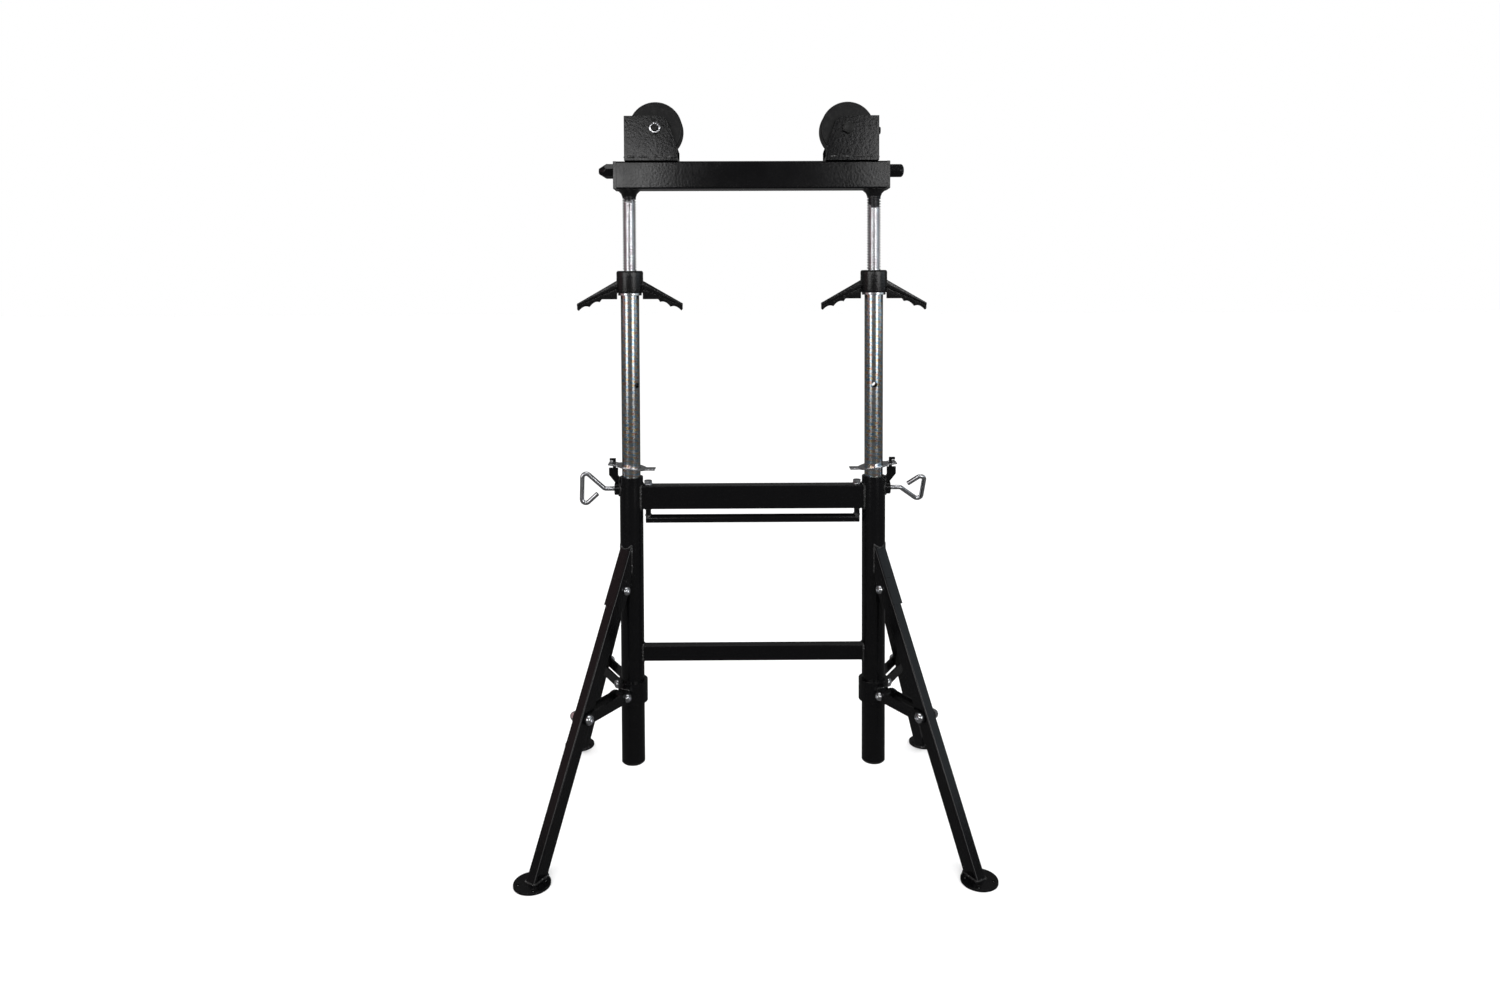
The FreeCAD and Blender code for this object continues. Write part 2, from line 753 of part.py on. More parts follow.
# Inner tubes, jack screws and wing nuts


def buildMast(side):
    """The inner tube with its pin hole, and the thrust washer on top of it."""
    centre = SIDES[side] * halfSpacing
    tube = roundTube("Sizes.innerTubeRadius", "Sizes.innerTubeWall", "Sizes.innerTubeLength")
    place(tube, vector(centre, 0, size.innerTubeTop - size.innerTubeLength))
    faced = FreeCAD.Rotation(UP, 50 if side == "left" else 0).multVec(TO_BACK)
    start = vector(centre, 0, size.innerTubeTop - size.pinHoleDrop) - faced * 2 * size.innerTubeRadius
    pinHole = cylinder("Sizes.pinHoleRadius", "4 * Sizes.innerTubeRadius", start, faced)
    node(side + "_inner_tube", cut(tube, pinHole))
    washerWall = "(Sizes.washerRadius - Sizes.screwRadius - 1)"
    washer = roundTube("Sizes.washerRadius", washerWall, "Sizes.washerThickness")
    node(side + "_thrust_washer", place(washer, vector(centre, 0, size.innerTubeTop)))


def buildWingNut(side):
    """A round hub with two drooping arms, each a tapering band over a thin finger grip with scallops."""
    centre = vector(SIDES[side] * halfSpacing, 0, 0)
    base = size.innerTubeTop + size.washerThickness
    hub = cylinder("Sizes.hubRadius", "Sizes.hubHeight", vector(0, 0, base))
    reach = "Sizes.wingReach"

    def edge(back, below):
        """A point that far back from the tip and that far under the arm's sloping top edge."""
        x = "%s - %s" % (reach, back)
        top = "Sizes.innerTubeTop + Sizes.washerThickness + Sizes.wingTop"
        return x, "%s - Sizes.wingSlope * (%s - Sizes.wingInner) - %s" % (top, x, below)

    root = "(%s - Sizes.wingInner)" % reach
    band = [edge(root, 0), edge(0, 0), edge(0, "Sizes.wingTipBand"), edge(root, "Sizes.wingBand")]
    level = "Sizes.innerTubeTop + Sizes.washerThickness - Sizes.wingWebDrop"
    rib = "Sizes.wingTipBand / 2"
    web = [
        ("Sizes.hubRadius - 1", level),
        edge("(%s - Sizes.hubRadius + 1)" % reach, rib),
        edge("1", rib),
        edge("1", "11.5"),
        edge("3", "13.5"),
        edge("11", "11.5"),
        edge("13", "16"),
        edge("23", "17"),
        edge("31", "11"),
        edge("33", "16.5"),
        edge("41", "17.5"),
        (reach + " - 45", level),
    ]
    pieces = [hub]
    for turn in (0, 180):
        for outline, width in ((band, "Sizes.wingThickness"), (web, "Sizes.wingWeb")):
            body = padded(lambda sketch: drawOutline(sketch, outline), "XZ_Plane", width, True)
            pieces.append(place(body, vector(0, 0, 0), UP, turn))
    boreBase = vector(0, 0, base - size.hubHeight)
    bore = cylinder("Sizes.screwRadius + Sizes.runningGap", "4 * Sizes.hubHeight", boreBase)
    node(side + "_wing_nut", place(cut(fuse(*pieces), bore), centre))


# Beam, spindle and roller carriages


beamBottom = size.beamTop - size.beamSize
spindleHeight = size.beamTop - size.spindleDrop
baseTop = size.beamTop + size.sideGap + size.basePlate
axleHeight = size.beamTop + size.axleAbove


def buildBeam():
    """The slotted square tube, its end plates, the jack screws and the spindle's bearing."""
    tubeLength = "2 * (Sizes.beamHalf - Sizes.endPlate)"
    tube = rectangularTube("Sizes.beamSize", "Sizes.beamSize", tubeLength, "Sizes.beamWall", True)
    place(tube, vector(0, 0, beamBottom + size.beamSize / 2), TO_BACK, 90)
    spare = size.slotWidth * 0.75 + size.slotMargin
    travel = "Sizes.carriageTravelIn + Sizes.carriageTravelOut"
    slotLength = travel + " + Sizes.slotWidth * 1.5 + 2 * Sizes.slotMargin"
    slots = []
    plates = []
    screws = []
    for side in SIDES.values():
        low = size.wheelOffset - size.carriageTravelIn - spare
        high = size.wheelOffset + size.carriageTravelOut + spare
        corner = vector(low if side > 0 else -high, -size.slotWidth / 2, size.beamTop - 2 * size.beamWall)
        slots.append(box(slotLength, "Sizes.slotWidth", "4 * Sizes.beamWall", corner))
        plateStart = size.beamHalf - size.endPlate if side > 0 else -size.beamHalf
        plateCorner = vector(plateStart, -size.beamSize / 2, beamBottom)
        plate = box("Sizes.endPlate", "Sizes.beamSize", "Sizes.beamSize", plateCorner)
        holeBase = vector(side * (size.beamHalf - size.endPlate * 2), 0, spindleHeight)
        across = TO_RIGHT * side
        hole = cylinder("Sizes.spindleRadius + Sizes.runningGap", "Sizes.endPlate * 3", holeBase, across)
        plates.append(cut(plate, hole))
        screwBase = vector(side * halfSpacing, 0, beamBottom - size.screwLength)
        screws.append(cylinder("Sizes.screwRadius", "Sizes.screwLength", screwBase))
    node("beam_tube", cut(tube, *slots))
    node("beam_end_plates", group(*plates))
    node("jack_screws", group(*screws))
    inside = size.beamSize - 2 * size.beamWall
    width = "Sizes.beamSize - 2 * Sizes.beamWall"
    blockCorner = vector(-size.bearingLength / 2, -inside / 2, beamBottom + size.beamWall)
    block = box("Sizes.bearingLength", width, width, blockCorner)
    boreBase = vector(-size.bearingLength, 0, spindleHeight)
    bore = cylinder("Sizes.spindleRadius + Sizes.runningGap", "2 * Sizes.bearingLength", boreBase, TO_RIGHT)
    node("spindle_bearing", cut(block, bore))


def buildSpindle():
    """The rod through the beam and the hexagonal end with a cone that is fixed on each of its ends."""
    start = vector(-size.beamHalf - size.spindleHexLength / 2, 0, spindleHeight)
    rod = cylinder("Sizes.spindleRadius", "2 * Sizes.beamHalf + Sizes.spindleHexLength", start, TO_RIGHT)
    node("roller_spindle", rod)
    ends = []
    for side in SIDES.values():
        start = vector(side * (size.beamHalf + size.sideGap), 0, spindleHeight)
        across = TO_RIGHT * side
        hexPart = hexagon("Sizes.spindleHexFlats", "Sizes.spindleHexLength", start, across)
        tipBase = start + across * size.spindleHexLength
        tipEnd = "Sizes.spindleHexFlats * 0.27" if side < 0 else "Sizes.spindleHexFlats * 0.36"
        tip = cone("Sizes.spindleHexFlats / 2", tipEnd, "Sizes.spindleTip", tipBase, across)
        socket = cylinder("Sizes.spindleRadius", "Sizes.spindleHexLength / 2 - Sizes.sideGap", start, across)
        ends.append(cut(fuse(hexPart, tip), socket))
    node("spindle_nuts", group(*ends))


carriageOuter = size.wheelOffset + size.baseLength - size.baseInner


def forkOutline(side):
    """The side plates' outline: upright outside, leaning inside."""
    outer = "(Sizes.wheelOffset + Sizes.baseLength - Sizes.baseInner)"
    inner = "(Sizes.wheelOffset - Sizes.baseInner)"
    low = "Sizes.beamTop + Sizes.sideGap + Sizes.basePlate"
    top = low + " + Sizes.forkHeight"
    knee = low + " + Sizes.forkKnee"
    leaned = "(%s + Sizes.forkLean * (Sizes.forkHeight - Sizes.forkKnee))" % inner
    points = [(outer, low), (outer, top), (leaned, top), (inner, knee), (inner, low)]
    return [("%d * %s" % (side, x), z) for x, z in points]


def buildCarriage(name):
    """A base plate and a fork for one wheel, the nut block that the spindle drives, and the axle bolt."""
    side = SIDES[name]
    outer = carriageOuter
    left = outer - size.baseLength if side > 0 else -outer
    plateCorner = vector(left, -size.baseWidth / 2, size.beamTop + size.sideGap)
    plate = box("Sizes.baseLength", "Sizes.baseWidth", "Sizes.basePlate", plateCorner)
    fork = padded(lambda sketch: drawOutline(sketch, forkOutline(side)), "XZ_Plane", "Sizes.baseWidth", True)
    top = baseTop + size.forkHeight

    def leaningCorner(edge):
        at = edge.CenterOfMass
        return along(TO_BACK)(edge) and abs(at.z - top) < 1 and abs(at.x) < outer - size.forkWall

    rounded(fork, "Sizes.forkRound", leaningCorner)
    inside = size.baseWidth - 2 * size.forkWall
    hollowX = outer - size.forkWall - size.baseLength if side > 0 else -outer + size.forkWall
    hollowCorner = vector(hollowX, -inside / 2, baseTop - size.forkHeight / 2)
    hollowWidth = "Sizes.baseWidth - 2 * Sizes.forkWall"
    hollow = box("Sizes.baseLength", hollowWidth, "2 * Sizes.forkHeight", hollowCorner)
    axleAt = vector(side * size.wheelOffset, 0, axleHeight)
    half = size.baseWidth / 2
    axleHole = cylinder("Sizes.axleRadius", "2 * Sizes.baseWidth", axleAt + vector(0, -2 * half, 0), TO_BACK)
    tools = [hollow, axleHole]
    if name == "right":
        brakeAt = vector(outer - 2 * size.forkWall, 0, axleHeight)
        brakeHole = "Sizes.brakeRadius + Sizes.runningGap"
        tools.append(cylinder(brakeHole, "4 * Sizes.forkWall", brakeAt, TO_RIGHT))
    node(name + "_roller_bracket", group(plate, cut(fork, *tools)))
    blockTop = size.beamTop - size.beamWall - size.sideGap
    middle = side * size.wheelOffset
    blockLow = blockTop - size.nutBlockHeight
    blockCorner = vector(middle - size.nutBlockLength / 2, -size.nutBlockWidth / 2, blockLow)
    block = box("Sizes.nutBlockLength", "Sizes.nutBlockWidth", "Sizes.nutBlockHeight", blockCorner)
    riserCorner = vector(middle - size.slotWidth * 0.75, -size.slotWidth / 2 + size.sideGap, blockTop)
    riserWidth = "Sizes.slotWidth - 2 * Sizes.sideGap"
    riser = box("Sizes.slotWidth * 1.5", riserWidth, "Sizes.beamWall + 2 * Sizes.sideGap", riserCorner)
    boreBase = vector(middle - size.nutBlockLength, 0, spindleHeight)
    bore = cylinder("Sizes.spindleRadius + Sizes.runningGap", "2 * Sizes.nutBlockLength", boreBase, TO_RIGHT)
    node(name + "_carriage_nut", cut(fuse(block, riser), bore))
    facing = TO_BACK * side
    headBase = axleAt - facing * half
    shank = cylinder("Sizes.axleRadius", "Sizes.baseWidth + Sizes.axleHead + 3", headBase, facing)
    head = hexagon("Sizes.axleFlats", "Sizes.axleHead", headBase, facing * -1)
    nut = hexagon("Sizes.axleFlats", "Sizes.axleHead", axleAt + facing * half, facing)
    nutBore = cylinder("Sizes.axleRadius", "Sizes.axleHead", axleAt + facing * half, facing)
    node(name + "_axle_bolt", group(fuse(shank, head), cut(nut, nutBore)))


def buildWheel(name):
    """A solid wheel with flat sides, a rounded rim and a hub that spaces it from the fork."""
    side = SIDES[name]
    hubHalf = "(Sizes.baseWidth / 2 - Sizes.forkWall - Sizes.sideGap)"
    half = "Sizes.wheelWidth / 2"
    bore = "Sizes.axleRadius + Sizes.runningGap"
    hubFoot = "Sizes.axleRadius * 2 + 2"
    profile = [
        (bore, "-" + hubHalf),
        (hubFoot, "-" + hubHalf),
        (hubFoot, "-(%s)" % half),
        ("Sizes.wheelRadius - 2", "-(%s)" % half),
        ("Sizes.wheelRadius", "-(%s) + 2" % half),
    ]
    mirrored = [(x, "-(%s)" % z) for x, z in reversed(profile)]
    wheel = revolved(profile + mirrored)
    node(name + "_wheel", place(wheel, vector(side * size.wheelOffset, 0, axleHeight), TO_RIGHT, 90))


def buildBrakeScrew():
    """A screw through the right bracket's outer wall that stops just short of the wheel's rim."""
    wall = vector(carriageOuter, 0, axleHeight)
    gap = "(Sizes.baseLength - Sizes.baseInner - Sizes.wheelRadius - 1)"
    shank = cylinder("Sizes.brakeRadius", gap, wall - vector(valueOf(gap), 0, 0), TO_RIGHT)
    head = hexagon("Sizes.brakeFlats", "Sizes.brakeHead", wall, TO_RIGHT)
    node("brake_screw", fuse(shank, head))


# Height locks and clamp screws


def buildHookPlates():
    """A plate welded to the outside of each post, with a hook through the lock plate's slot."""
    plates = []
    post = "Sizes.postRadius"
    low = "Sizes.clampHeight + Sizes.bossRadius + 0.3"
    under = "Sizes.lockHeight - 7"
    over = "Sizes.lockHeight + 6.5"
    top = "Sizes.lockHeight + 11"
    neck = "Sizes.hookOffset - Sizes.hookNeck / 2"
    throat = "Sizes.hookOffset + Sizes.hookNeck / 2"
    outline = [
        (post, low),
        (post + " + 9", low),
        (post + " + 20", "Sizes.postTop + 3.5"),
        (post + " + 20", under),
        (throat, under),
        (throat, over),
        (throat + " + 6", over),
        (throat + " + 6", top),
        (neck, top),
        (neck, under),
        (post + " + 3", under),
        (post + " + 3", "Sizes.postTop + 2"),
        (post, "Sizes.postTop - 1"),
    ]
    for side in SIDES.values():
        body = padded(lambda sketch: drawOutline(sketch, outline), "XZ_Plane", "Sizes.hookThickness", True)
        plates.append(place(body, vector(side * halfSpacing, 0, 0), UP, 0 if side > 0 else 180))
    node("hook_plates", group(*plates))


def buildLockPlate(name):
    """A canted plate round the inner tube, with a slot for the hook and a thumb tab at its far end."""
    side = SIDES[name]
    tilt = math.radians(size.lockTilt)
    middle = size.hookOffset / math.cos(tilt)
    disc = cylinder("Sizes.lockRadius", "Sizes.lockThickness", vector(0, 0, 0))
    tabCorner = vector(-size.lockTipReach, -size.lockTabWidth / 2, 0)
    tab = box("Sizes.lockTipReach", "Sizes.lockTabWidth", "Sizes.lockThickness", tabCorner)
    heelCorner = vector(0, -size.lockHeelWidth / 2, 0)
    heel = box("Sizes.lockHookReach", "Sizes.lockHeelWidth", "Sizes.lockThickness", heelCorner)
    below = -2 * size.lockThickness
    holeRadius = "Sizes.innerTubeRadius + Sizes.lockHoleGap"
    hole = cylinder(holeRadius, "6 * Sizes.lockThickness", vector(0, 0, below))
    slotStart = middle - (size.hookNeck + size.lockSlotRoom) / 2
    slotCorner = vector(slotStart, -size.hookThickness / 2 - 1, below)
    slotLength = "Sizes.hookNeck + Sizes.lockSlotRoom"
    slot = box(slotLength, "Sizes.hookThickness + 2", "6 * Sizes.lockThickness", slotCorner)
    plate = cut(fuse(disc, tab, heel), hole, slot)
    lean = FreeCAD.Rotation(TO_BACK, -size.lockTilt)
    drop = size.lockHeight - size.hookOffset * math.tan(tilt)
    facing = FreeCAD.Rotation(UP, 0 if side > 0 else 180)
    at = vector(side * halfSpacing, 0, drop - size.lockThickness / 2)
    plate.Placement = FreeCAD.Placement(at, facing.multiply(lean))
    node(name + "_lock_plate", plate)


def buildClamps():
    """The bosses welded to the posts, and the bent screws that turn in them."""
    bosses = []
    for side in SIDES.values():
        start = vector(side * halfSpacing, 0, size.clampHeight)
        across = TO_RIGHT * side
        boss = cylinder("Sizes.bossRadius", "Sizes.postRadius + Sizes.bossLength", start, across)
        postLow = start - vector(0, 0, 2 * size.bossRadius)
        post = cylinder("Sizes.postRadius", "4 * Sizes.bossRadius", postLow)
        boreLength = "2 * (Sizes.postRadius + Sizes.bossLength)"
        bore = cylinder("Sizes.clampRadius + Sizes.runningGap", boreLength, start, across)
        bosses.append(cut(boss, post, bore))
    node("clamp_bosses", group(*bosses))
    for name, side in SIDES.items():
        loop = doc.addObject("Part::Feature", "ClampScrew")
        loop.Shape = bentRod(size.clampRadius, clampRoute(), size.clampBend)
        spin = 0.0 if side < 0 else size.clampSpin
        facing = FreeCAD.Rotation(UP, 0 if side > 0 else 180)
        rotation = facing.multiply(FreeCAD.Rotation(TO_RIGHT, spin))
        loop.Placement = FreeCAD.Placement(vector(side * halfSpacing, 0, size.clampHeight), rotation)
        node(name + "_clamp_screw", loop)


def clampRoute():
    """The rod's centre line, out from the tube's wall and round a triangle."""
    start = size.innerTubeRadius + size.sideGap
    stem = size.clampStem
    far = stem + size.clampLoopOut
    return [
        vector(start, 0, 0),
        vector(stem, 0, 0),
        vector(far - 1, 0, size.clampLoop),
        vector(far + 1, 0, -size.clampLoop),
        vector(stem + size.clampLoopOut * 0.3, 0, -size.clampLoop * 0.24),
    ]


def bentRod(radius, route, bend):
    """A round rod along straight runs with an arc at each corner."""
    edges = []
    start = route[0]
    for k in range(1, len(route) - 1):
        before = (route[k - 1] - route[k]).normalize()
        after = (route[k + 1] - route[k]).normalize()
        half = math.acos(max(-1.0, min(1.0, before.dot(after)))) / 2
        setback = bend / math.tan(half)
        first = route[k] + before * setback
        last = route[k] + after * setback
        middle = (before + after).normalize()
        centre = route[k] + middle * (bend / math.sin(half))
        edges.append(Part.LineSegment(start, first).toShape())
        edges.append(Part.Arc(first, centre - middle * bend, last).toShape())
        start = last
    edges.append(Part.LineSegment(start, route[-1]).toShape())
    path = Part.Wire(edges)
    direction = (route[1] - route[0]).normalize()
    profile = Part.Wire([Part.makeCircle(radius, route[0], direction)])
    return path.makePipeShell([profile], True, False)


buildPosts()
buildFrameBars()
buildHandle()
buildLegStubs()
for legName in LEGS:
    buildLeg(legName)
    buildSleeve(legName)
    buildFoot(legName)
    buildBrace(legName)
for sideName in SIDES:
    buildCollar(sideName)
    buildMast(sideName)
    buildWingNut(sideName)
    buildCarriage(sideName)
    buildWheel(sideName)
    buildLockPlate(sideName)
buildBeam()
buildSpindle()
buildBrakeScrew()
buildHookPlates()
buildClamps()
doc.recompute()

for item in doc.Objects:
    if "Invalid" in item.State or "Error" in item.State:
        raise RuntimeError("%s (%s) failed: %s" % (item.Name, item.Label, item.State))
for item in nodes:
    if item.Shape.isNull() or not item.Shape.isValid():
        raise RuntimeError("%s has no valid shape" % item.Label)

os.makedirs("parts", exist_ok=True)
for item in nodes:
    item.Shape.exportStep("parts/%s.step" % item.Label)
    print("%-28s %2d solids %10.0f mm3" % (item.Label, len(item.Shape.Solids), item.Shape.Volume))
print("%d nodes" % len(nodes))
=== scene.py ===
import json
import math

import bmesh
import bpy
import numpy as np
from mathutils import Matrix, Vector


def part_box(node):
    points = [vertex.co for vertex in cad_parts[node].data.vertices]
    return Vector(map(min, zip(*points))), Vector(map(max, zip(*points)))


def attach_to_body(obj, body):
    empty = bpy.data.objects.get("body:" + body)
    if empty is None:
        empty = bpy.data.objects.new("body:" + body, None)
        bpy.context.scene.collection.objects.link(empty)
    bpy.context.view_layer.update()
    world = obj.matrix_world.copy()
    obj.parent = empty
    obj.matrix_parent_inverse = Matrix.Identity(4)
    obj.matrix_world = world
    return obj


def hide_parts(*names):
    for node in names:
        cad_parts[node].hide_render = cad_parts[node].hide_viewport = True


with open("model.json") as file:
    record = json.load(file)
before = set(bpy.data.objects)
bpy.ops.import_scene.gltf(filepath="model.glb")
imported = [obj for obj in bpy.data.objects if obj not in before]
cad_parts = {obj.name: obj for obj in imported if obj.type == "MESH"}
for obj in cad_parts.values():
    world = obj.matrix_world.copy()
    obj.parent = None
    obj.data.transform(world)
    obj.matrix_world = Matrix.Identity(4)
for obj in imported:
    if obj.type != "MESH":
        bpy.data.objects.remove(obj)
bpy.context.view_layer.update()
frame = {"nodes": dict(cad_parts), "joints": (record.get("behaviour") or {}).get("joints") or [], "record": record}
joints = {joint["name"]: joint for joint in frame["joints"]}
mm = 0.001
up = np.array([0.0, 0.0, 1.0])
toRight = np.array([1.0, 0.0, 0.0])
toBack = np.array([0.0, 1.0, 0.0])
sides = {"left": -1, "right": 1}


# camera and stage

camera = {"place": (-26.5, -1852.2, 995.4), "lens": 23.70, "turn": -0.388, "down": 2.157, "roll": -0.21,
          "shiftX": 0.0036, "shiftY": -0.1196, "sensor": 36.0, "farEnd": 200.0}
white = (1.0, 1.0, 1.0)
studio = {"floorSize": 60.0, "paper": 0.93, "paperRoughness": 0.85, "paperGloss": 0.1,
          "paperSeenInGloss": 0.09, "white": 1.0, "fill": 1.16, "glossFill": 0.10}
# each row: name, place, width and height, power, the height it aims at, colour
softboxes = [("leftBox", (-2.25, -2.5, 1.36), (1.35, 1.72), 17.0, 1.36, white),
             ("rightBox", (1.95, -2.55, 1.36), (1.35, 1.72), 17.0, 1.36, white),
             ("leftGlow", (-0.86, -3.0, 1.56), (0.9, 0.34), 5.5, 1.56, white),
             ("rightGlow", (1.08, -3.0, 1.60), (0.9, 0.42), 6.5, 1.60, white),
             ("topBox", (0.0, -0.2, 3.4), (3.0, 1.6), 26.0, 0.75, white),
             ("leftRim", (-2.6, -0.6, 1.45), (1.6, 1.3), 1.6, 1.45, (1.0, 0.52, 0.55)),
             ("rightRim", (2.6, -0.6, 1.45), (2.4, 1.3), 6.0, 1.45, (0.80, 0.92, 1.0))]


def addCamera():
    turn = math.radians(camera["turn"])
    down = math.radians(camera["down"])
    roll = math.radians(camera["roll"])
    right = Vector((math.cos(turn), math.sin(turn), 0))
    ahead = Vector((-math.sin(turn), math.cos(turn), 0))
    high = Vector((0, 0, 1))
    look = ahead * math.cos(down) - high * math.sin(down)
    top = high * math.cos(down) + ahead * math.sin(down)
    across = right * math.cos(roll) + top * math.sin(roll)
    above = top * math.cos(roll) - right * math.sin(roll)
    data = bpy.data.cameras.new("camera")
    data.lens = camera["lens"]
    data.sensor_width = camera["sensor"]
    data.shift_x = camera["shiftX"]
    data.shift_y = camera["shiftY"]
    data.clip_end = camera["farEnd"]
    item = bpy.data.objects.new("camera", data)
    bpy.context.scene.collection.objects.link(item)
    rotation = Matrix((across, above, -look)).transposed()
    item.matrix_world = Matrix.Translation(Vector(camera["place"]) * mm) @ rotation.to_4x4()
    bpy.context.scene.camera = item


def addLights():
    for name, place, (width, height), power, aimHeight, colour in softboxes:
        data = bpy.data.lights.new(name, "AREA")
        data.shape = "RECTANGLE"
        data.size = width
        data.size_y = height
        data.energy = power
        data.color = colour
        item = bpy.data.objects.new(name, data)
        bpy.context.scene.collection.objects.link(item)
        item.location = place
        aim = Vector((0.0, 0.0, aimHeight)) - Vector(place)
        item.rotation_euler = aim.to_track_quat("-Z", "Y").to_euler()


def addWorld():
    # white where the camera looks, a soft fill on matt surfaces, and nearly dark where gloss looks
    world = bpy.data.worlds.new("studio")
    bpy.context.scene.world = world
    world.use_nodes = True
    nodes, links = world.node_tree.nodes, world.node_tree.links
    nodes.clear()
    sky = {}
    for label in ("white", "fill", "glossFill"):
        sky[label] = nodes.new("ShaderNodeBackground")
        sky[label].inputs["Color"].default_value = (1, 1, 1, 1)
        sky[label].inputs["Strength"].default_value = studio[label]
    path = nodes.new("ShaderNodeLightPath")
    matt = nodes.new("ShaderNodeMixShader")
    seen = nodes.new("ShaderNodeMixShader")
    out = nodes.new("ShaderNodeOutputWorld")
    links.new(path.outputs["Is Glossy Ray"], matt.inputs[0])
    links.new(sky["fill"].outputs[0], matt.inputs[1])
    links.new(sky["glossFill"].outputs[0], matt.inputs[2])
    links.new(path.outputs["Is Camera Ray"], seen.inputs[0])
    links.new(matt.outputs[0], seen.inputs[1])
    links.new(sky["white"].outputs[0], seen.inputs[2])
    links.new(seen.outputs[0], out.inputs["Surface"])
    bpy.context.scene.view_settings.view_transform = "Standard"


def addFloor():
    # pale paper that gloss sees as a dim grey
    half = studio["floorSize"] / 2
    mesh = bpy.data.meshes.new("floor")
    corners = [(-half, -half, 0), (half, -half, 0), (half, half, 0), (-half, half, 0)]
    mesh.from_pydata(corners, [], [(0, 1, 2, 3)])
    item = bpy.data.objects.new("floor", mesh)
    bpy.context.scene.collection.objects.link(item)
    paper = bpy.data.materials.new("floorPaper")
    paper.use_nodes = True
    nodes, links = paper.node_tree.nodes, paper.node_tree.links
    shader = nodes["Principled BSDF"]
    shader.inputs["Base Color"].default_value = (studio["paper"],) * 3 + (1,)
    shader.inputs["Roughness"].default_value = studio["paperRoughness"]
    shader.inputs["Specular IOR Level"].default_value = studio["paperGloss"]
    dim = nodes.new("ShaderNodeEmission")
    dim.inputs["Strength"].default_value = studio["paperSeenInGloss"]
    path = nodes.new("ShaderNodeLightPath")
    mix = nodes.new("ShaderNodeMixShader")
    links.new(path.outputs["Is Glossy Ray"], mix.inputs[0])
    links.new(shader.outputs[0], mix.inputs[1])
    links.new(dim.outputs[0], mix.inputs[2])
    links.new(mix.outputs[0], nodes["Material Output"].inputs["Surface"])
    mesh.materials.append(paper)


addCamera()
addLights()
addWorld()
addFloor()
print("stage is set")


# materials


def newGroup(name, inputs, outputs):
    group = bpy.data.node_groups.new(name, "ShaderNodeTree")
    for label, value in inputs:
        socket = group.interface.new_socket(label, in_out="INPUT", socket_type="NodeSocketFloat")
        socket.default_value = value
    for label, kind in outputs:
        group.interface.new_socket(label, in_out="OUTPUT", socket_type=kind)
    return group, group.nodes.new("NodeGroupInput"), group.nodes.new("NodeGroupOutput")


class Graph:
    # short ways to add and join nodes in one tree

    def __init__(self, tree):
        self.tree = tree

    def node(self, kind, **values):
        item = self.tree.nodes.new("ShaderNode" + kind)
        for key, value in values.items():
            setattr(item, key, value)
        return item

    def join(self, source, target):
        self.tree.links.new(source, target)

    def feed(self, socket, value):
        if isinstance(value, bpy.types.NodeSocket):
            self.join(value, socket)
        else:
            socket.default_value = value

    def math(self, operation, first, second=0.0, clamp=False):
        item = self.node("Math", operation=operation, use_clamp=clamp)
        self.feed(item.inputs[0], first)
        self.feed(item.inputs[1], second)
        return item.outputs[0]

    def noise(self, vector, scale, detail=3.0, roughness=0.5):
        item = self.node("TexNoise")
        self.feed(item.inputs["Vector"], vector)
        self.feed(item.inputs["Scale"], scale)
        item.inputs["Detail"].default_value = detail
        item.inputs["Roughness"].default_value = roughness
        return item.outputs["Fac"]

    def between(self, value, low, high, start=0.0, end=1.0):
        item = self.node("MapRange", clamp=True, interpolation_type="SMOOTHSTEP")
        self.feed(item.inputs["Value"], value)
        for label, number in (("From Min", low), ("From Max", high), ("To Min", start), ("To Max", end)):
            self.feed(item.inputs[label], number)
        return item.outputs["Result"]

    def blend(self, share, first, second):
        item = self.node("Mix", data_type="RGBA")
        self.feed(item.inputs["Factor"], share)
        self.feed(item.inputs["A"], first)
        self.feed(item.inputs["B"], second)
        return item.outputs["Result"]

    def bump(self, height, strength, distance, normal=None):
        item = self.node("Bump")
        self.feed(item.inputs["Height"], height)
        self.feed(item.inputs["Strength"], strength)
        self.feed(item.inputs["Distance"], distance)
        if normal is not None:
            self.join(normal, item.inputs["Normal"])
        return item.outputs["Normal"]


def makePeelGroup():
    # height: coarse waves of the sprayed coat plus finer pits, and dust where a third noise peaks
    group, given, result = newGroup(
        "sprayedCoat", [("Wave", 170.0), ("Depth", 0.35), ("Dust", 0.3)],
        [("Normal", "NodeSocketVector"), ("Dust", "NodeSocketFloat"), ("Patches", "NodeSocketFloat")])
    g = Graph(group)
    place = g.node("TexCoord").outputs["Object"]
    wave = g.noise(place, given.outputs["Wave"], 2.0, 0.45)
    pits = g.noise(place, g.math("MULTIPLY", given.outputs["Wave"], 4.0), 2.0, 0.5)
    height = g.math("ADD", wave, g.math("MULTIPLY", pits, 0.22))
    specks = g.noise(place, 2600.0, 2.0, 0.7)
    dust = g.math("MULTIPLY", g.between(specks, 0.69, 0.76), given.outputs["Dust"])
    g.join(g.bump(height, given.outputs["Depth"], 0.0012), result.inputs["Normal"])
    g.join(dust, result.inputs["Dust"])
    g.join(g.noise(place, 14.0, 3.0, 0.6), result.inputs["Patches"])
    return group


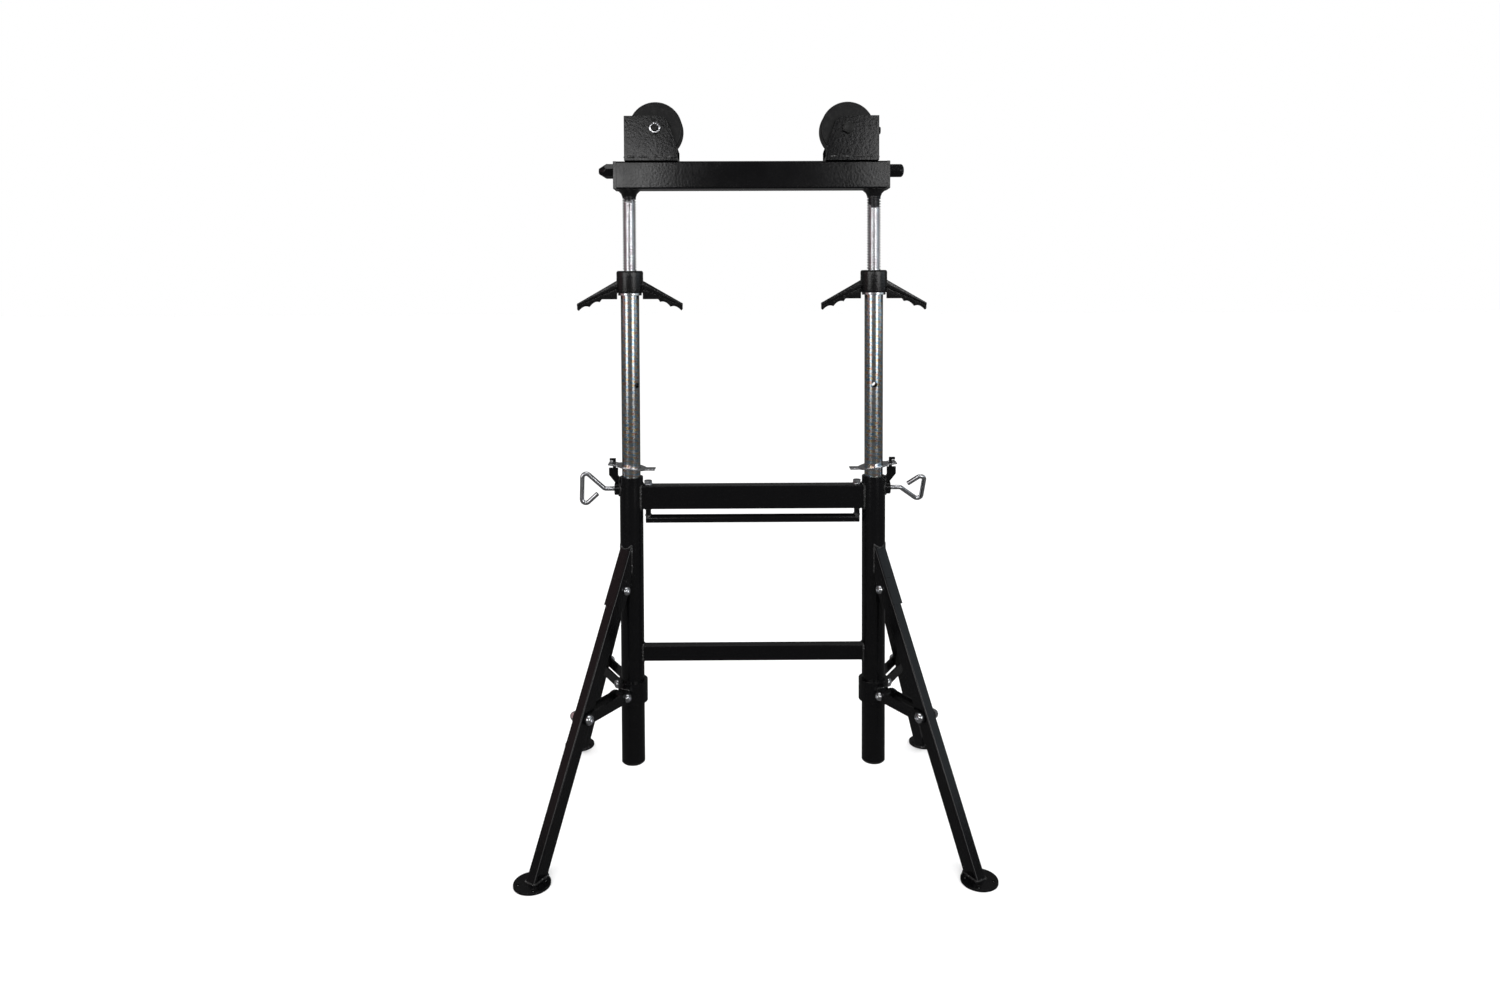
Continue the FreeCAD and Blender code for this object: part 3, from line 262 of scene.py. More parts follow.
def makeWearGroup():
    # mask: where the surface bends within a small radius, broken up by noise
    group, given, result = newGroup(
        "edgeWear", [("Reach", 0.0012), ("Amount", 0.5)], [("Mask", "NodeSocketFloat")])
    g = Graph(group)
    place = g.node("TexCoord").outputs["Object"]
    bevel = g.node("Bevel", samples=4)
    g.join(given.outputs["Reach"], bevel.inputs["Radius"])
    plain = g.node("NewGeometry").outputs["Normal"]
    dot = g.node("VectorMath", operation="DOT_PRODUCT")
    g.join(bevel.outputs["Normal"], dot.inputs[0])
    g.join(plain, dot.inputs[1])
    bend = g.between(dot.outputs["Value"], 0.97, 0.80)
    broken = g.between(g.noise(place, 260.0, 4.0, 0.65), 0.50, 0.68)
    mask = g.math("MULTIPLY", g.math("MULTIPLY", bend, broken), given.outputs["Amount"], True)
    g.join(mask, result.inputs["Mask"])
    return group


def newMaterial(name):
    material = bpy.data.materials.new(name)
    material.use_nodes = True
    shader = material.node_tree.nodes["Principled BSDF"]
    return material, Graph(material.node_tree), shader


def useGroup(g, group, **values):
    item = g.node("Group", node_tree=group)
    for key, value in values.items():
        item.inputs[key].default_value = value
    return item


peelGroup = makePeelGroup()
wearGroup = makeWearGroup()


black = (0.0018, 0.0018, 0.0021, 1)
softBlack = (0.006, 0.006, 0.006, 1)
paint = {"dust": (0.22, 0.22, 0.23, 1), "dustRoughness": 0.4, "chip": (0.30, 0.29, 0.28, 1),
         "chipReach": 0.0011, "chipRoughness": 0.25}


def enamel(name, colour, wave, depth, roughness, dust, wear, gloss=0.36):
    # gloss enamel over steel: orange peel, a little dust, and steel showing in chips along the edges
    material, g, shader = newMaterial(name)
    coat = useGroup(g, peelGroup, Wave=wave, Depth=depth, Dust=dust)
    chips = useGroup(g, wearGroup, Reach=paint["chipReach"], Amount=wear)
    dusty = g.blend(coat.outputs["Dust"], colour, paint["dust"])
    g.join(g.blend(chips.outputs["Mask"], dusty, paint["chip"]), shader.inputs["Base Color"])
    g.join(chips.outputs["Mask"], shader.inputs["Metallic"])
    rough = g.between(coat.outputs["Patches"], 0.3, 0.7, roughness * 0.8, roughness * 1.25)
    rough = g.math("ADD", rough, g.math("MULTIPLY", coat.outputs["Dust"], paint["dustRoughness"]))
    chipped = g.math("MULTIPLY", chips.outputs["Mask"], paint["chipRoughness"])
    g.join(g.math("ADD", rough, chipped), shader.inputs["Roughness"])
    g.join(coat.outputs["Normal"], shader.inputs["Normal"])
    shader.inputs["Specular IOR Level"].default_value = gloss
    return material


zincPlate = {"cloud": 60.0, "spotScale": 420.0, "spot": (0.28, 0.27, 0.27, 1), "spotShare": 0.5,
             "spotRoughness": 0.2, "scratchDepth": 0.0004, "scratchStrength": 0.18}


def plated(name, colour, roughness, stain, grain):
    # bright zinc or chrome plate: soft cloudy tone, fine scratches and a few dull spots
    material, g, shader = newMaterial(name)
    place = g.node("TexCoord").outputs["Object"]
    cloud = g.noise(place, zincPlate["cloud"], 4.0, 0.6)
    tone = g.blend(g.between(cloud, 0.35, 0.7), colour, stain)
    spots = g.between(g.noise(place, zincPlate["spotScale"], 3.0, 0.7), 0.62, 0.72)
    share = g.math("MULTIPLY", spots, zincPlate["spotShare"])
    g.join(g.blend(share, tone, zincPlate["spot"]), shader.inputs["Base Color"])
    shader.inputs["Metallic"].default_value = 1.0
    rough = g.between(cloud, 0.3, 0.75, roughness * 0.75, roughness * 1.4)
    dull = g.math("MULTIPLY", spots, zincPlate["spotRoughness"])
    g.join(g.math("ADD", rough, dull), shader.inputs["Roughness"])
    scratches = g.noise(place, grain, 3.0, 0.6)
    relief = g.bump(scratches, zincPlate["scratchStrength"], zincPlate["scratchDepth"])
    g.join(relief, shader.inputs["Normal"])
    return material


film = {"pitch": 9.0, "starts": 2, "crossPitch": 6.5, "crossStarts": 3, "ripple": 0.16, "wander": 1.1,
        "wanderScale": 55.0, "plain": (0.60, 0.63, 0.66, 1), "leastShare": 0.45, "mostShare": 1.0,
        "smooth": 0.17, "rough": 0.23,
        "stops": [(0.0, (0.66, 0.70, 0.72)), (0.22, (0.26, 0.46, 0.66)), (0.40, (0.60, 0.70, 0.70)),
                  (0.58, (0.80, 0.62, 0.30)), (0.74, (0.62, 0.34, 0.28)), (0.90, (0.70, 0.72, 0.74))]}


def passivated(name, centre):
    # zinc plate with a thin clear film: its colour goes round blue, straw and rose along a fine helix
    material, g, shader = newMaterial(name)
    moved = g.node("Mapping")
    g.join(g.node("TexCoord").outputs["Object"], moved.inputs["Vector"])
    moved.inputs["Location"].default_value = (-centre, 0, 0)
    place = moved.outputs["Vector"]
    parts = g.node("SeparateXYZ")
    g.join(place, parts.inputs["Vector"])
    angle = g.math("ARCTAN2", parts.outputs["Y"], parts.outputs["X"])

    def turns(pitch, starts):
        along = g.math("MULTIPLY", parts.outputs["Z"], 1 / (pitch * mm))
        return g.math("ADD", along, g.math("MULTIPLY", angle, starts / (2 * math.pi)))

    helix = turns(film["pitch"], film["starts"])
    cross = turns(film["crossPitch"], -film["crossStarts"])
    wander = g.noise(place, film["wanderScale"], 3.0, 0.6)
    ripple = g.math("MULTIPLY", g.math("SINE", g.math("MULTIPLY", cross, 2 * math.pi)), film["ripple"])
    drift = g.math("MULTIPLY", wander, film["wander"])
    shade = g.math("FRACT", g.math("ADD", g.math("ADD", helix, ripple), drift))
    ramp = g.node("ValToRGB")
    ramp.color_ramp.interpolation = "EASE"
    stops = film["stops"]
    while len(ramp.color_ramp.elements) < len(stops):
        ramp.color_ramp.elements.new(0.5)
    for element, (position, colour) in zip(ramp.color_ramp.elements, stops):
        element.position = position
        element.color = (*colour, 1)
    g.join(shade, ramp.inputs["Fac"])
    strength = g.between(g.noise(place, 22.0, 3.0, 0.6), 0.3, 0.7, film["leastShare"], film["mostShare"])
    g.join(g.blend(strength, film["plain"], ramp.outputs["Color"]), shader.inputs["Base Color"])
    shader.inputs["Metallic"].default_value = 1.0
    g.join(g.between(wander, 0.3, 0.7, film["smooth"], film["rough"]), shader.inputs["Roughness"])
    g.join(g.bump(g.noise(place, 900.0, 2.0, 0.5), 0.04, 0.0003), shader.inputs["Normal"])
    return material


screwZinc = {"bright": (0.93, 0.94, 0.96, 1), "stain": (0.80, 0.76, 0.79, 1),
             "paint": (0.010, 0.010, 0.011, 1),
             "edge": 0.0015, "ragged": 0.030, "zincRoughness": 0.22, "paintRoughness": 0.14}


def threadedZinc(name, paintedFrom):
    # bright zinc on a screw whose top end was sprayed black with the beam, down to a ragged edge
    material, g, shader = newMaterial(name)
    place = g.node("TexCoord").outputs["Object"]
    parts = g.node("SeparateXYZ")
    g.join(place, parts.inputs["Vector"])
    uneven = g.math("SUBTRACT", g.noise(place, 90.0, 4.0, 0.7), 0.5)
    height = g.math("ADD", parts.outputs["Z"], g.math("MULTIPLY", uneven, screwZinc["ragged"]))
    painted = g.between(height, paintedFrom - screwZinc["edge"], paintedFrom + screwZinc["edge"])
    cloud = g.noise(place, 70.0, 4.0, 0.6)
    zinc = g.blend(g.between(cloud, 0.35, 0.7), screwZinc["bright"], screwZinc["stain"])
    g.join(g.blend(painted, zinc, screwZinc["paint"]), shader.inputs["Base Color"])
    g.join(g.math("SUBTRACT", 1.0, painted), shader.inputs["Metallic"])
    rough = g.between(painted, 0.0, 1.0, screwZinc["zincRoughness"], screwZinc["paintRoughness"])
    g.join(rough, shader.inputs["Roughness"])
    g.join(g.bump(g.noise(place, 700.0, 3.0, 0.6), 0.15, 0.0004), shader.inputs["Normal"])
    return material


rubber = {"dark": (0.004, 0.004, 0.0045, 1), "scuffed": (0.014, 0.0135, 0.013, 1),
          "dust": (0.12, 0.12, 0.12, 1),
          "dustShare": 0.22, "gloss": 0.3, "smooth": 0.34, "rough": 0.55}


def tread(name):
    # dull black wheel with scuffs and grey dust
    material, g, shader = newMaterial(name)
    place = g.node("TexCoord").outputs["Object"]
    scuff = g.noise(place, 120.0, 5.0, 0.65)
    dust = g.between(g.noise(place, 1500.0, 3.0, 0.7), 0.6, 0.78)
    base = g.blend(g.between(scuff, 0.45, 0.8), rubber["dark"], rubber["scuffed"])
    share = g.math("MULTIPLY", dust, rubber["dustShare"])
    g.join(g.blend(share, base, rubber["dust"]), shader.inputs["Base Color"])
    g.join(g.between(scuff, 0.3, 0.8, rubber["smooth"], rubber["rough"]), shader.inputs["Roughness"])
    shader.inputs["Specular IOR Level"].default_value = rubber["gloss"]
    g.join(g.bump(g.noise(place, 1100.0, 3.0, 0.55), 0.25, 0.0005), shader.inputs["Normal"])
    return material


weldSkin = {"painted": (0.012, 0.012, 0.012, 1), "bare": (0.20, 0.20, 0.20, 1), "metal": 0.8,
            "paintedRoughness": 0.16, "bareRoughness": 0.34}


def weldMetal(name):
    # a weld bead under thin paint: black in the hollows, grey steel and spatter where the paint is thin
    material, g, shader = newMaterial(name)
    place = g.node("TexCoord").outputs["Object"]
    thin = g.between(g.noise(place, 210.0, 4.0, 0.7), 0.56, 0.70)
    g.join(g.blend(thin, weldSkin["painted"], weldSkin["bare"]), shader.inputs["Base Color"])
    g.join(g.math("MULTIPLY", thin, weldSkin["metal"]), shader.inputs["Metallic"])
    rough = g.between(thin, 0.0, 1.0, weldSkin["paintedRoughness"], weldSkin["bareRoughness"])
    g.join(rough, shader.inputs["Roughness"])
    g.join(g.bump(g.noise(place, 520.0, 4.0, 0.6), 0.4, 0.0009), shader.inputs["Normal"])
    return material


# slot: name, colour, waves to the metre, depth of the peel, roughness, dust, wear, gloss
coats = {
    "black_enamel": ("sprayedEnamel", black, 230.0, 0.09, 0.15, 0.25, 0.30),
    "black_casting": ("sprayedCasting", black, 300.0, 0.30, 0.20, 0.45, 0.35, 0.6),
    "black_plastic": ("mouldedPlug", softBlack, 500.0, 0.20, 0.32, 0.5, 0.0),
    "black_steel": ("sprayedSpindle", black, 300.0, 0.30, 0.18, 0.25, 0.5),
    "black_fastener": ("blackenedSteel", softBlack, 420.0, 0.30, 0.34, 0.35, 0.6),
}
# slot: name, colour, roughness, stain, scratches to the metre
plates = {
    "bright_zinc": ("brightZinc", (0.80, 0.81, 0.83, 1), 0.20, (0.66, 0.66, 0.70, 1), 600.0),
    "passivated_zinc": ("zincPlate", (0.86, 0.88, 0.90, 1), 0.38, (0.74, 0.78, 0.82, 1), 500.0),
}
finishes = {slot: enamel(*values) for slot, values in coats.items()}
finishes["wheel_black"] = tread("dullTread")
finishes.update({slot: plated(*values) for slot, values in plates.items()})
weldFinish = weldMetal("paintedWeld")
slots = {part["node"]: part["material_slot"] for part in frame["record"]["subparts"]}
bodyOf = {node: body for body, members in frame["record"]["behaviour"]["bodies"].items() for node in members}
for node, item in frame["nodes"].items():
    item.data.materials.clear()
    item.data.materials.append(finishes[slots[node]])
for side in sides:
    low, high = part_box(side + "_inner_tube")
    item = frame["nodes"][side + "_inner_tube"]
    item.data.materials[0] = passivated(side + "Passivated", (low.x + high.x) / 2)
print("materials are made")


# surfaces on grids


def boxOf(node):
    low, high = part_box(node)
    return np.array(low) / mm, np.array(high) / mm


def gridFaces(rows, columns, closeRows, closeColumns, offset=0):
    # each face joins a point to its neighbour in the row, then the same two points in the next row
    r = np.arange(rows if closeRows else rows - 1)
    c = np.arange(columns if closeColumns else columns - 1)
    r, c = np.meshgrid(r, c, indexing="ij")
    nextRow, nextColumn = (r + 1) % rows, (c + 1) % columns
    corners = [r * columns + c, r * columns + nextColumn,
               nextRow * columns + nextColumn, nextRow * columns + c]
    return np.stack(corners, -1).reshape(-1, 4) + offset


def surface(points, closeRows=False, closeColumns=True):
    return np.asarray(points, float), closeRows, closeColumns


def build(name, surfaces, finish, sharp=35.0):
    # one mesh from several grids: doubles merged, open ends filled, normals turned outwards
    points, faces, count = [], [], 0
    for grid, closeRows, closeColumns in surfaces:
        rows, columns = grid.shape[:2]
        points.append(grid.reshape(-1, 3) * mm)
        faces.append(gridFaces(rows, columns, closeRows, closeColumns, count))
        count += rows * columns
    mesh = bpy.data.meshes.new(name)
    mesh.from_pydata(np.concatenate(points), [], np.concatenate(faces).tolist())
    shell = bmesh.new()
    shell.from_mesh(mesh)
    bmesh.ops.remove_doubles(shell, verts=shell.verts, dist=2e-6)
    bmesh.ops.dissolve_degenerate(shell, edges=shell.edges, dist=1e-7)
    openEdges = [edge for edge in shell.edges if edge.is_boundary]
    if openEdges:
        bmesh.ops.holes_fill(shell, edges=openEdges, sides=0)
    bmesh.ops.recalc_face_normals(shell, faces=shell.faces)
    shell.to_mesh(mesh)
    shell.free()
    item = bpy.data.objects.new(name, mesh)
    bpy.context.scene.collection.objects.link(item)
    mesh.materials.append(finish)
    smooth(mesh)
    mesh.set_sharp_from_angle(angle=math.radians(sharp))
    return item


def smooth(mesh):
    mesh.polygons.foreach_set("use_smooth", np.ones(len(mesh.polygons), bool))


def soften(item, width, segments=2):
    # rounds every edge sharper than the limit and keeps the flats' own normals
    smooth(item.data)
    rounding = item.modifiers.new("rounding", "BEVEL")
    rounding.width = width * mm
    rounding.segments = segments
    rounding.limit_method = "ANGLE"
    rounding.angle_limit = math.radians(38)
    rounding.harden_normals = True
    graph = bpy.context.evaluated_depsgraph_get()
    graph.update()
    item.data = bpy.data.meshes.new_from_object(item.evaluated_get(graph))
    item.modifiers.clear()


def rounded(node, width, name, change=None):
    # a copy of a CAD node with its edges rounded, and its points moved by change if one is given
    mesh = frame["nodes"][node].data.copy()
    mesh.name = name
    for attribute in [a.name for a in mesh.attributes if a.name.startswith("custom_normal")]:
        mesh.attributes.remove(mesh.attributes[attribute])
    shell = bmesh.new()
    shell.from_mesh(mesh)
    bmesh.ops.remove_doubles(shell, verts=shell.verts, dist=1e-6)
    bmesh.ops.dissolve_limit(shell, angle_limit=math.radians(0.4), verts=shell.verts, edges=shell.edges)
    shell.to_mesh(mesh)
    shell.free()
    item = bpy.data.objects.new(name, mesh)
    bpy.context.scene.collection.objects.link(item)
    soften(item, width)
    mesh = item.data
    if change:
        places = np.empty(len(mesh.vertices) * 3)
        mesh.vertices.foreach_get("co", places)
        mesh.vertices.foreach_set("co", (change(places.reshape(-1, 3) / mm) * mm).ravel())
        mesh.update()
    return attach(item, bodyOf[node], slots[node], node)


def attach(item, body, slot, *replaced):
    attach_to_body(item, body)
    if replaced:
        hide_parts(*replaced)
    return item


def basisFor(axis):
    axis = np.asarray(axis, float) / np.linalg.norm(axis)
    helper = toRight if abs(axis[0]) < 0.9 else toBack
    first = np.cross(helper, axis)
    first /= np.linalg.norm(first)
    return first, np.cross(axis, first), axis


def turned(profile, centre, axis=up, steps=64, spin=0.0):
    # a point at (radius, height) goes round the axis: centre + radius (cos, sin) + height axis
    profile = np.asarray(profile, float)
    first, second, third = basisFor(axis)
    angle = np.linspace(0, 2 * math.pi, steps, endpoint=False) + spin
    ring = np.cos(angle)[:, None] * first + np.sin(angle)[:, None] * second
    radius, height = profile[:, 0][:, None, None], profile[:, 1][:, None, None]
    return surface(np.asarray(centre) + radius * ring + height * third)


def hexRadius(angle, flats):
    # distance from the centre to a hexagon's side in each direction
    return flats / 2 / np.cos((angle + math.pi / 6) % (math.pi / 3) - math.pi / 6)


def hexSolid(centre, axis, flats, cone, spin=0.0, steps=96):
    # cone is (limit radius, height) rows: each point sits at the smaller of the hexagon and the limit
    cone = np.asarray(cone, float)
    first, second, third = basisFor(axis)
    angle = np.linspace(0, 2 * math.pi, steps, endpoint=False)
    radius = np.minimum(hexRadius(angle, flats)[None, :], cone[:, 0][:, None])
    ring = np.cos(angle + spin)[:, None] * first + np.sin(angle + spin)[:, None] * second
    return surface(np.asarray(centre) + radius[:, :, None] * ring + cone[:, 1][:, None, None] * third)


bolt = {"dish": 0.25, "washerOver": 1.12, "chamfer": 0.55, "socketDeep": 3.6, "socketWall": 3.0,
        "hingeRadius": 8.6, "hingeRise": 6.6, "braceRadius": 9.4, "braceRise": 7.0, "braceKey": 6.5,
        "collarRadius": 8.4, "collarRise": 6.4, "key": 6.0, "nutFlats": 16.0, "nutRise": 8.6, "shank": 4.9}


def hexHead(centre, axis, flats, height, spin=0.0, washer=0.0):
    # a hexagon whose top corners are chamfered and whose top is dished, over a round washer if there is one
    corner = flats / math.sqrt(3)
    drop = (corner - flats * 0.47) * bolt["chamfer"]
    rows = [(0, 0), (flats * 0.49, 0), (corner, 0.35)]
    rows += [(corner, k) for k in np.linspace(0.4, height - drop, 5)]
    rows += [(corner - (corner - flats * 0.46) * t, height - drop + drop * t) for t in np.linspace(0.1, 1, 7)]
    rows += [(flats * 0.40, height), (flats * 0.36, height - bolt["dish"]), (0, height - bolt["dish"])]
    parts = [hexSolid(np.asarray(centre) + np.asarray(axis) * washer, axis, flats, rows, spin)]
    if washer:
        rim = corner * bolt["washerOver"]
        ring = [(0, 0), (rim - 0.3, 0), (rim, 0.3), (rim, washer - 0.3), (rim - 0.3, washer), (0, washer)]
        parts.append(turned(ring, centre, axis))
    return parts


def socketHead(centre, axis, radius, height, socket, spin=0.0):
    # a domed head with a hexagonal socket: the dome, then straight down into the socket, then its floor
    steps, rings = 72, 14
    first, second, third = basisFor(axis)
    angle = np.linspace(0, 2 * math.pi, steps, endpoint=False)
    mouth = hexRadius(angle, socket)
    lift = np.linspace(0, 1, rings)[:, None]
    rim = socket * 0.62
    outer = radius - (radius - rim) * (1 - np.sqrt(np.clip(1 - lift**2, 0, 1)))
    dome = np.broadcast_to(outer, (rings, steps))
    domeHeight = np.broadcast_to(0.6 + (height - 0.6) * lift, (rings, steps))
    foot = np.full((2, steps), radius - 0.2)
    foot[1] = radius
    inner = np.stack([mouth + 0.15, mouth, mouth, mouth * 0.02])
    depths = np.array([[0.15], [0.5], [bolt["socketWall"]], [bolt["socketDeep"]]])
    radii = np.concatenate([foot, dome, inner])
    heights = np.concatenate([np.array([[0.0], [0.35]]) * np.ones((1, steps)), domeHeight,
                              (height - depths) * np.ones((1, steps))])
    ring = np.cos(angle + spin)[:, None] * first + np.sin(angle + spin)[:, None] * second
    return [surface(np.asarray(centre) + radii[:, :, None] * ring + heights[:, :, None] * third)]


def lockNut(centre, axis, spin=0.0):
    # a nut with a rounded collar over its far end and the bolt's end showing in it
    flats, height, shank = bolt["nutFlats"], bolt["nutRise"], bolt["shank"]
    corner = flats / math.sqrt(3)
    low = height * 0.68
    rows = [(0, 0), (flats * 0.48, 0), (corner, 0.5), (corner, low - 1.2)]
    rows += [(corner - (corner - flats * 0.44) * t, low - 1.2 + 1.2 * t) for t in np.linspace(0.2, 1, 5)]
    body = hexSolid(centre, axis, flats, rows + [(flats * 0.42, low), (0, low)], spin)
    lip = flats * 0.42
    collar = [(shank + 0.6, low - 0.5), (lip, low - 0.5), (lip, height - 1.2), (lip - 0.4, height - 0.4),
              (lip - 1.3, height), (shank + 1.0, height), (shank + 0.6, height - 0.8)]
    end = [(0, low - 0.5), (shank, low - 0.5), (shank, height + 0.8),
           (shank - 0.7, height + 1.6), (0, height + 1.6)]
    return [body, surface(turned(collar, centre, axis)[0], True), turned(end, centre, axis, 40)]


def threadRod(centre, axis, radius, depth, pitch, length, steps=40, perTurn=10, shape=0.32):
    # radius falls by depth along a helix: a trapezium wave of (height / pitch - angle / full turn)
    first, second, third = basisFor(axis)
    angle = np.linspace(0, 2 * math.pi, steps, endpoint=False)
    height = np.linspace(0, length, int(length / pitch * perTurn) + 1)
    phase = (height[:, None] / pitch - angle[None, :] / (2 * math.pi)) % 1.0
    wave = np.clip((np.abs(phase - 0.5) * 2 - shape) / (1 - 2 * shape), 0, 1)
    ends = np.clip(np.minimum(height, length - height) / (pitch * 0.6), 0, 1)[:, None]
    radii = radius - depth * (1 - (1 - wave) * ends)
    ring = np.cos(angle)[:, None] * first + np.sin(angle)[:, None] * second
    body = np.asarray(centre) + radii[:, :, None] * ring + height[:, None, None] * third
    start = np.broadcast_to(np.asarray(centre), (1, steps, 3))
    stop = np.broadcast_to(np.asarray(centre) + length * third, (1, steps, 3))
    return surface(np.concatenate([start, body, stop]))


def alongPath(path, closed=False):
    # tangents by differences, then a normal carried along the path and kept square to it
    path = np.asarray(path, float)
    ahead = np.roll(path, -1, 0) - np.roll(path, 1, 0) if closed else np.gradient(path, axis=0)
    ahead /= np.linalg.norm(ahead, axis=1)[:, None]
    normal = basisFor(ahead[0])[0]
    normals = []
    for tangent in ahead:
        normal = normal - tangent * np.dot(normal, tangent)
        normal /= np.linalg.norm(normal)
        normals.append(normal)
    normals = np.array(normals)
    return normals, np.cross(ahead, normals)


def rod(path, radius, closed=False, steps=24):
    # a circle of the given radius is carried along the path; the ends close to a point
    path = np.asarray(path, float)
    normal, other = alongPath(path, closed)
    angle = np.linspace(0, 2 * math.pi, steps, endpoint=False)
    radius = np.broadcast_to(np.asarray(radius, float), (len(path),))
    ring = np.cos(angle)[None, :, None] * normal[:, None] + np.sin(angle)[None, :, None] * other[:, None]
    body = path[:, None] + radius[:, None, None] * ring
    if closed:
        return surface(body, True)
    start = np.broadcast_to(path[0], (1, steps, 3))
    stop = np.broadcast_to(path[-1], (1, steps, 3))
    return surface(np.concatenate([start, body, stop]))


def evenly(path, spacing, closed=False):
    path = np.asarray(path, float)
    if closed:
        path = np.concatenate([path, path[:1]])
    steps = np.linalg.norm(np.diff(path, axis=0), axis=1)
    travel = np.concatenate([[0], np.cumsum(steps)])
    count = max(8, int(travel[-1] / spacing))
    places = np.linspace(0, travel[-1], count, endpoint=not closed)
    return np.stack([np.interp(places, travel, path[:, k]) for k in range(3)], -1), places


def weldBead(path, radius, closed=False, seed=0, ripple=2.6, lumps=0.16):
    # the bead's radius ripples once per ripple length and swells slowly; both ends taper
    path, travel = evenly(path, 0.55, closed)
    draw = np.random.default_rng(seed)
    slow = sum(np.sin(travel / wave + draw.uniform(0, 6.3)) for wave in (5.1, 8.7, 13.3)) / 3
    scale = 1 + lumps * slow - 0.13 * np.abs(np.sin(math.pi * travel / ripple + draw.uniform(0, 3)))
    if not closed:
        scale *= np.clip(np.minimum(travel, travel[-1] - travel) / (radius * 1.5), 0.15, 1) ** 0.5
    return rod(path, radius * scale, closed, 14)


def loop(width, height, corner, steps=10):
    # a rounded rectangle about zero, as four arcs joined by straight sides
    arcs = []
    for k, (sx, sy) in enumerate(((1, 1), (-1, 1), (-1, -1), (1, -1))):
        angle = np.linspace(k * math.pi / 2, (k + 1) * math.pi / 2, steps)
        arcs.append(np.stack([sx * (width / 2 - corner) + corner * np.cos(angle),
                              sy * (height / 2 - corner) + corner * np.sin(angle)], -1))
    return np.concatenate(arcs)


# where things are

posts = {side: boxOf(side + "_post") for side in sides}
postX = {side: (low[0] + high[0]) / 2 for side, (low, high) in posts.items()}
postRadius = (posts["left"][1][0] - posts["left"][0][0]) / 2
legNames = [side + "_" + end for side in sides for end in ("front", "rear")]


class LegFrame:
    # points by distance from the post's centre, distance across the leg and height

    def __init__(self, name):
        joint = joints[name + "_leg_fold"]
        self.across = np.array(joint["axis"])
        self.away = np.cross(self.across, up)
        side = name.split("_")[0]
        self.origin = np.array([postX[side], 0.0, 0.0])
        self.head = -sides[side]
        hinge = np.array(joint["pos_m"]) / mm
        self.hinge = (float(np.dot(hinge - self.origin, self.away)), hinge[2])
        collar = np.array(joints[name + "_brace_swing"]["pos_m"]) / mm
        self.collar = (float(np.dot(collar - self.origin, self.away)), collar[2])

    def at(self, reach, across, height):
        reach, across, height = np.broadcast_arrays(np.asarray(reach, float), across, height)
        level = self.origin + reach[..., None] * self.away + across[..., None] * self.across
        return level + height[..., None] * up


legs = {name: LegFrame(name) for name in legNames}
legSize = {"tilt": math.radians(28.8), "reach": 276.5, "depth": 30.0, "width": 20.0, "braceBolt": 228.0,
           "sleeveHalf": 12.8, "braceHalf": 14.6}


def legReach(height):
    return legSize["reach"] - height * math.tan(legSize["tilt"])


# posts, crossbars and handle


post = {"wall": 4.0, "rim": 0.7, "steps": 112}
bead = {"crossbar": 2.6, "stub": 2.1, "boss": 2.2, "bossRing": 12.6, "handle": 1.3, "hook": 1.7,
        "hookHalf": 3.0, "collar": 1.6, "collarRing": 28.0, "foot": 2.0, "beamEnd": 1.2, "bracket": 2.5,
        "bracketEnd": 2.2}


def makePosts():
    for side in sides:
        low, high = posts[side]
        outer, inner = postRadius, postRadius - post["wall"]
        rim = post["rim"]
        profile = [(outer, low[2] + rim), (outer, high[2] - rim)]
        profile += [(outer - rim * (1 - math.cos(a)), high[2] - rim * (1 - math.sin(a)))
                    for a in np.linspace(0.2, 1.57, 4)]
        profile += [(inner + 0.4, high[2]), (inner, high[2] - 0.4), (inner, low[2]), (outer - rim, low[2])]
        wall = turned(profile, (postX[side], 0, 0), steps=post["steps"])
        item = build(side + "PostTube", [surface(wall[0], True)], finishes["black_enamel"])
        attach(item, "frame", "black_enamel", side + "_post")


def crossbarWeld(node, side, seed):
    low, high = boxOf(node)
    outline = loop(high[1] - low[1], high[2] - low[2], 3.5)
    offset = np.sqrt(postRadius**2 - outline[:, 0] ** 2) + 0.2
    middle = (low[2] + high[2]) / 2
    x = postX[side] - sides[side] * offset
    path = np.stack([x, outline[:, 0], outline[:, 1] + middle], -1)
    return weldBead(path, bead["crossbar"], True, seed)


def stubWeld(name, seed):
    leg = legs[name]
    half = legSize["width"] / 2 + 2.5
    face = (legSize["depth"] / 2 + 2.5) / math.cos(legSize["tilt"])
    across = np.linspace(-half, half, 24)
    reach = np.sqrt(postRadius**2 - across**2)
    top = (legSize["reach"] + face - reach) / math.tan(legSize["tilt"])
    rise = np.linspace(leg.hinge[1] + 26, top[0] - 1, 20)
    side = np.full(20, half)
    edge = np.full(20, reach[0])
    runs = [leg.at(edge, -side, rise), leg.at(reach, across, top), leg.at(edge, side, rise[::-1])]
    return weldBead(np.concatenate(runs), bead["stub"], False, seed)


def bossWeld(side, seed):
    low, high = boxOf("clamp_bosses")
    middle = (low[2] + high[2]) / 2
    angle = np.linspace(0, 2 * math.pi, 60, endpoint=False)
    y, z = bead["bossRing"] * np.cos(angle), bead["bossRing"] * np.sin(angle)
    x = postX[side] + sides[side] * (np.sqrt(postRadius**2 - y**2) + 0.6)
    return weldBead(np.stack([x, y, z + middle], -1), bead["boss"], True, seed)


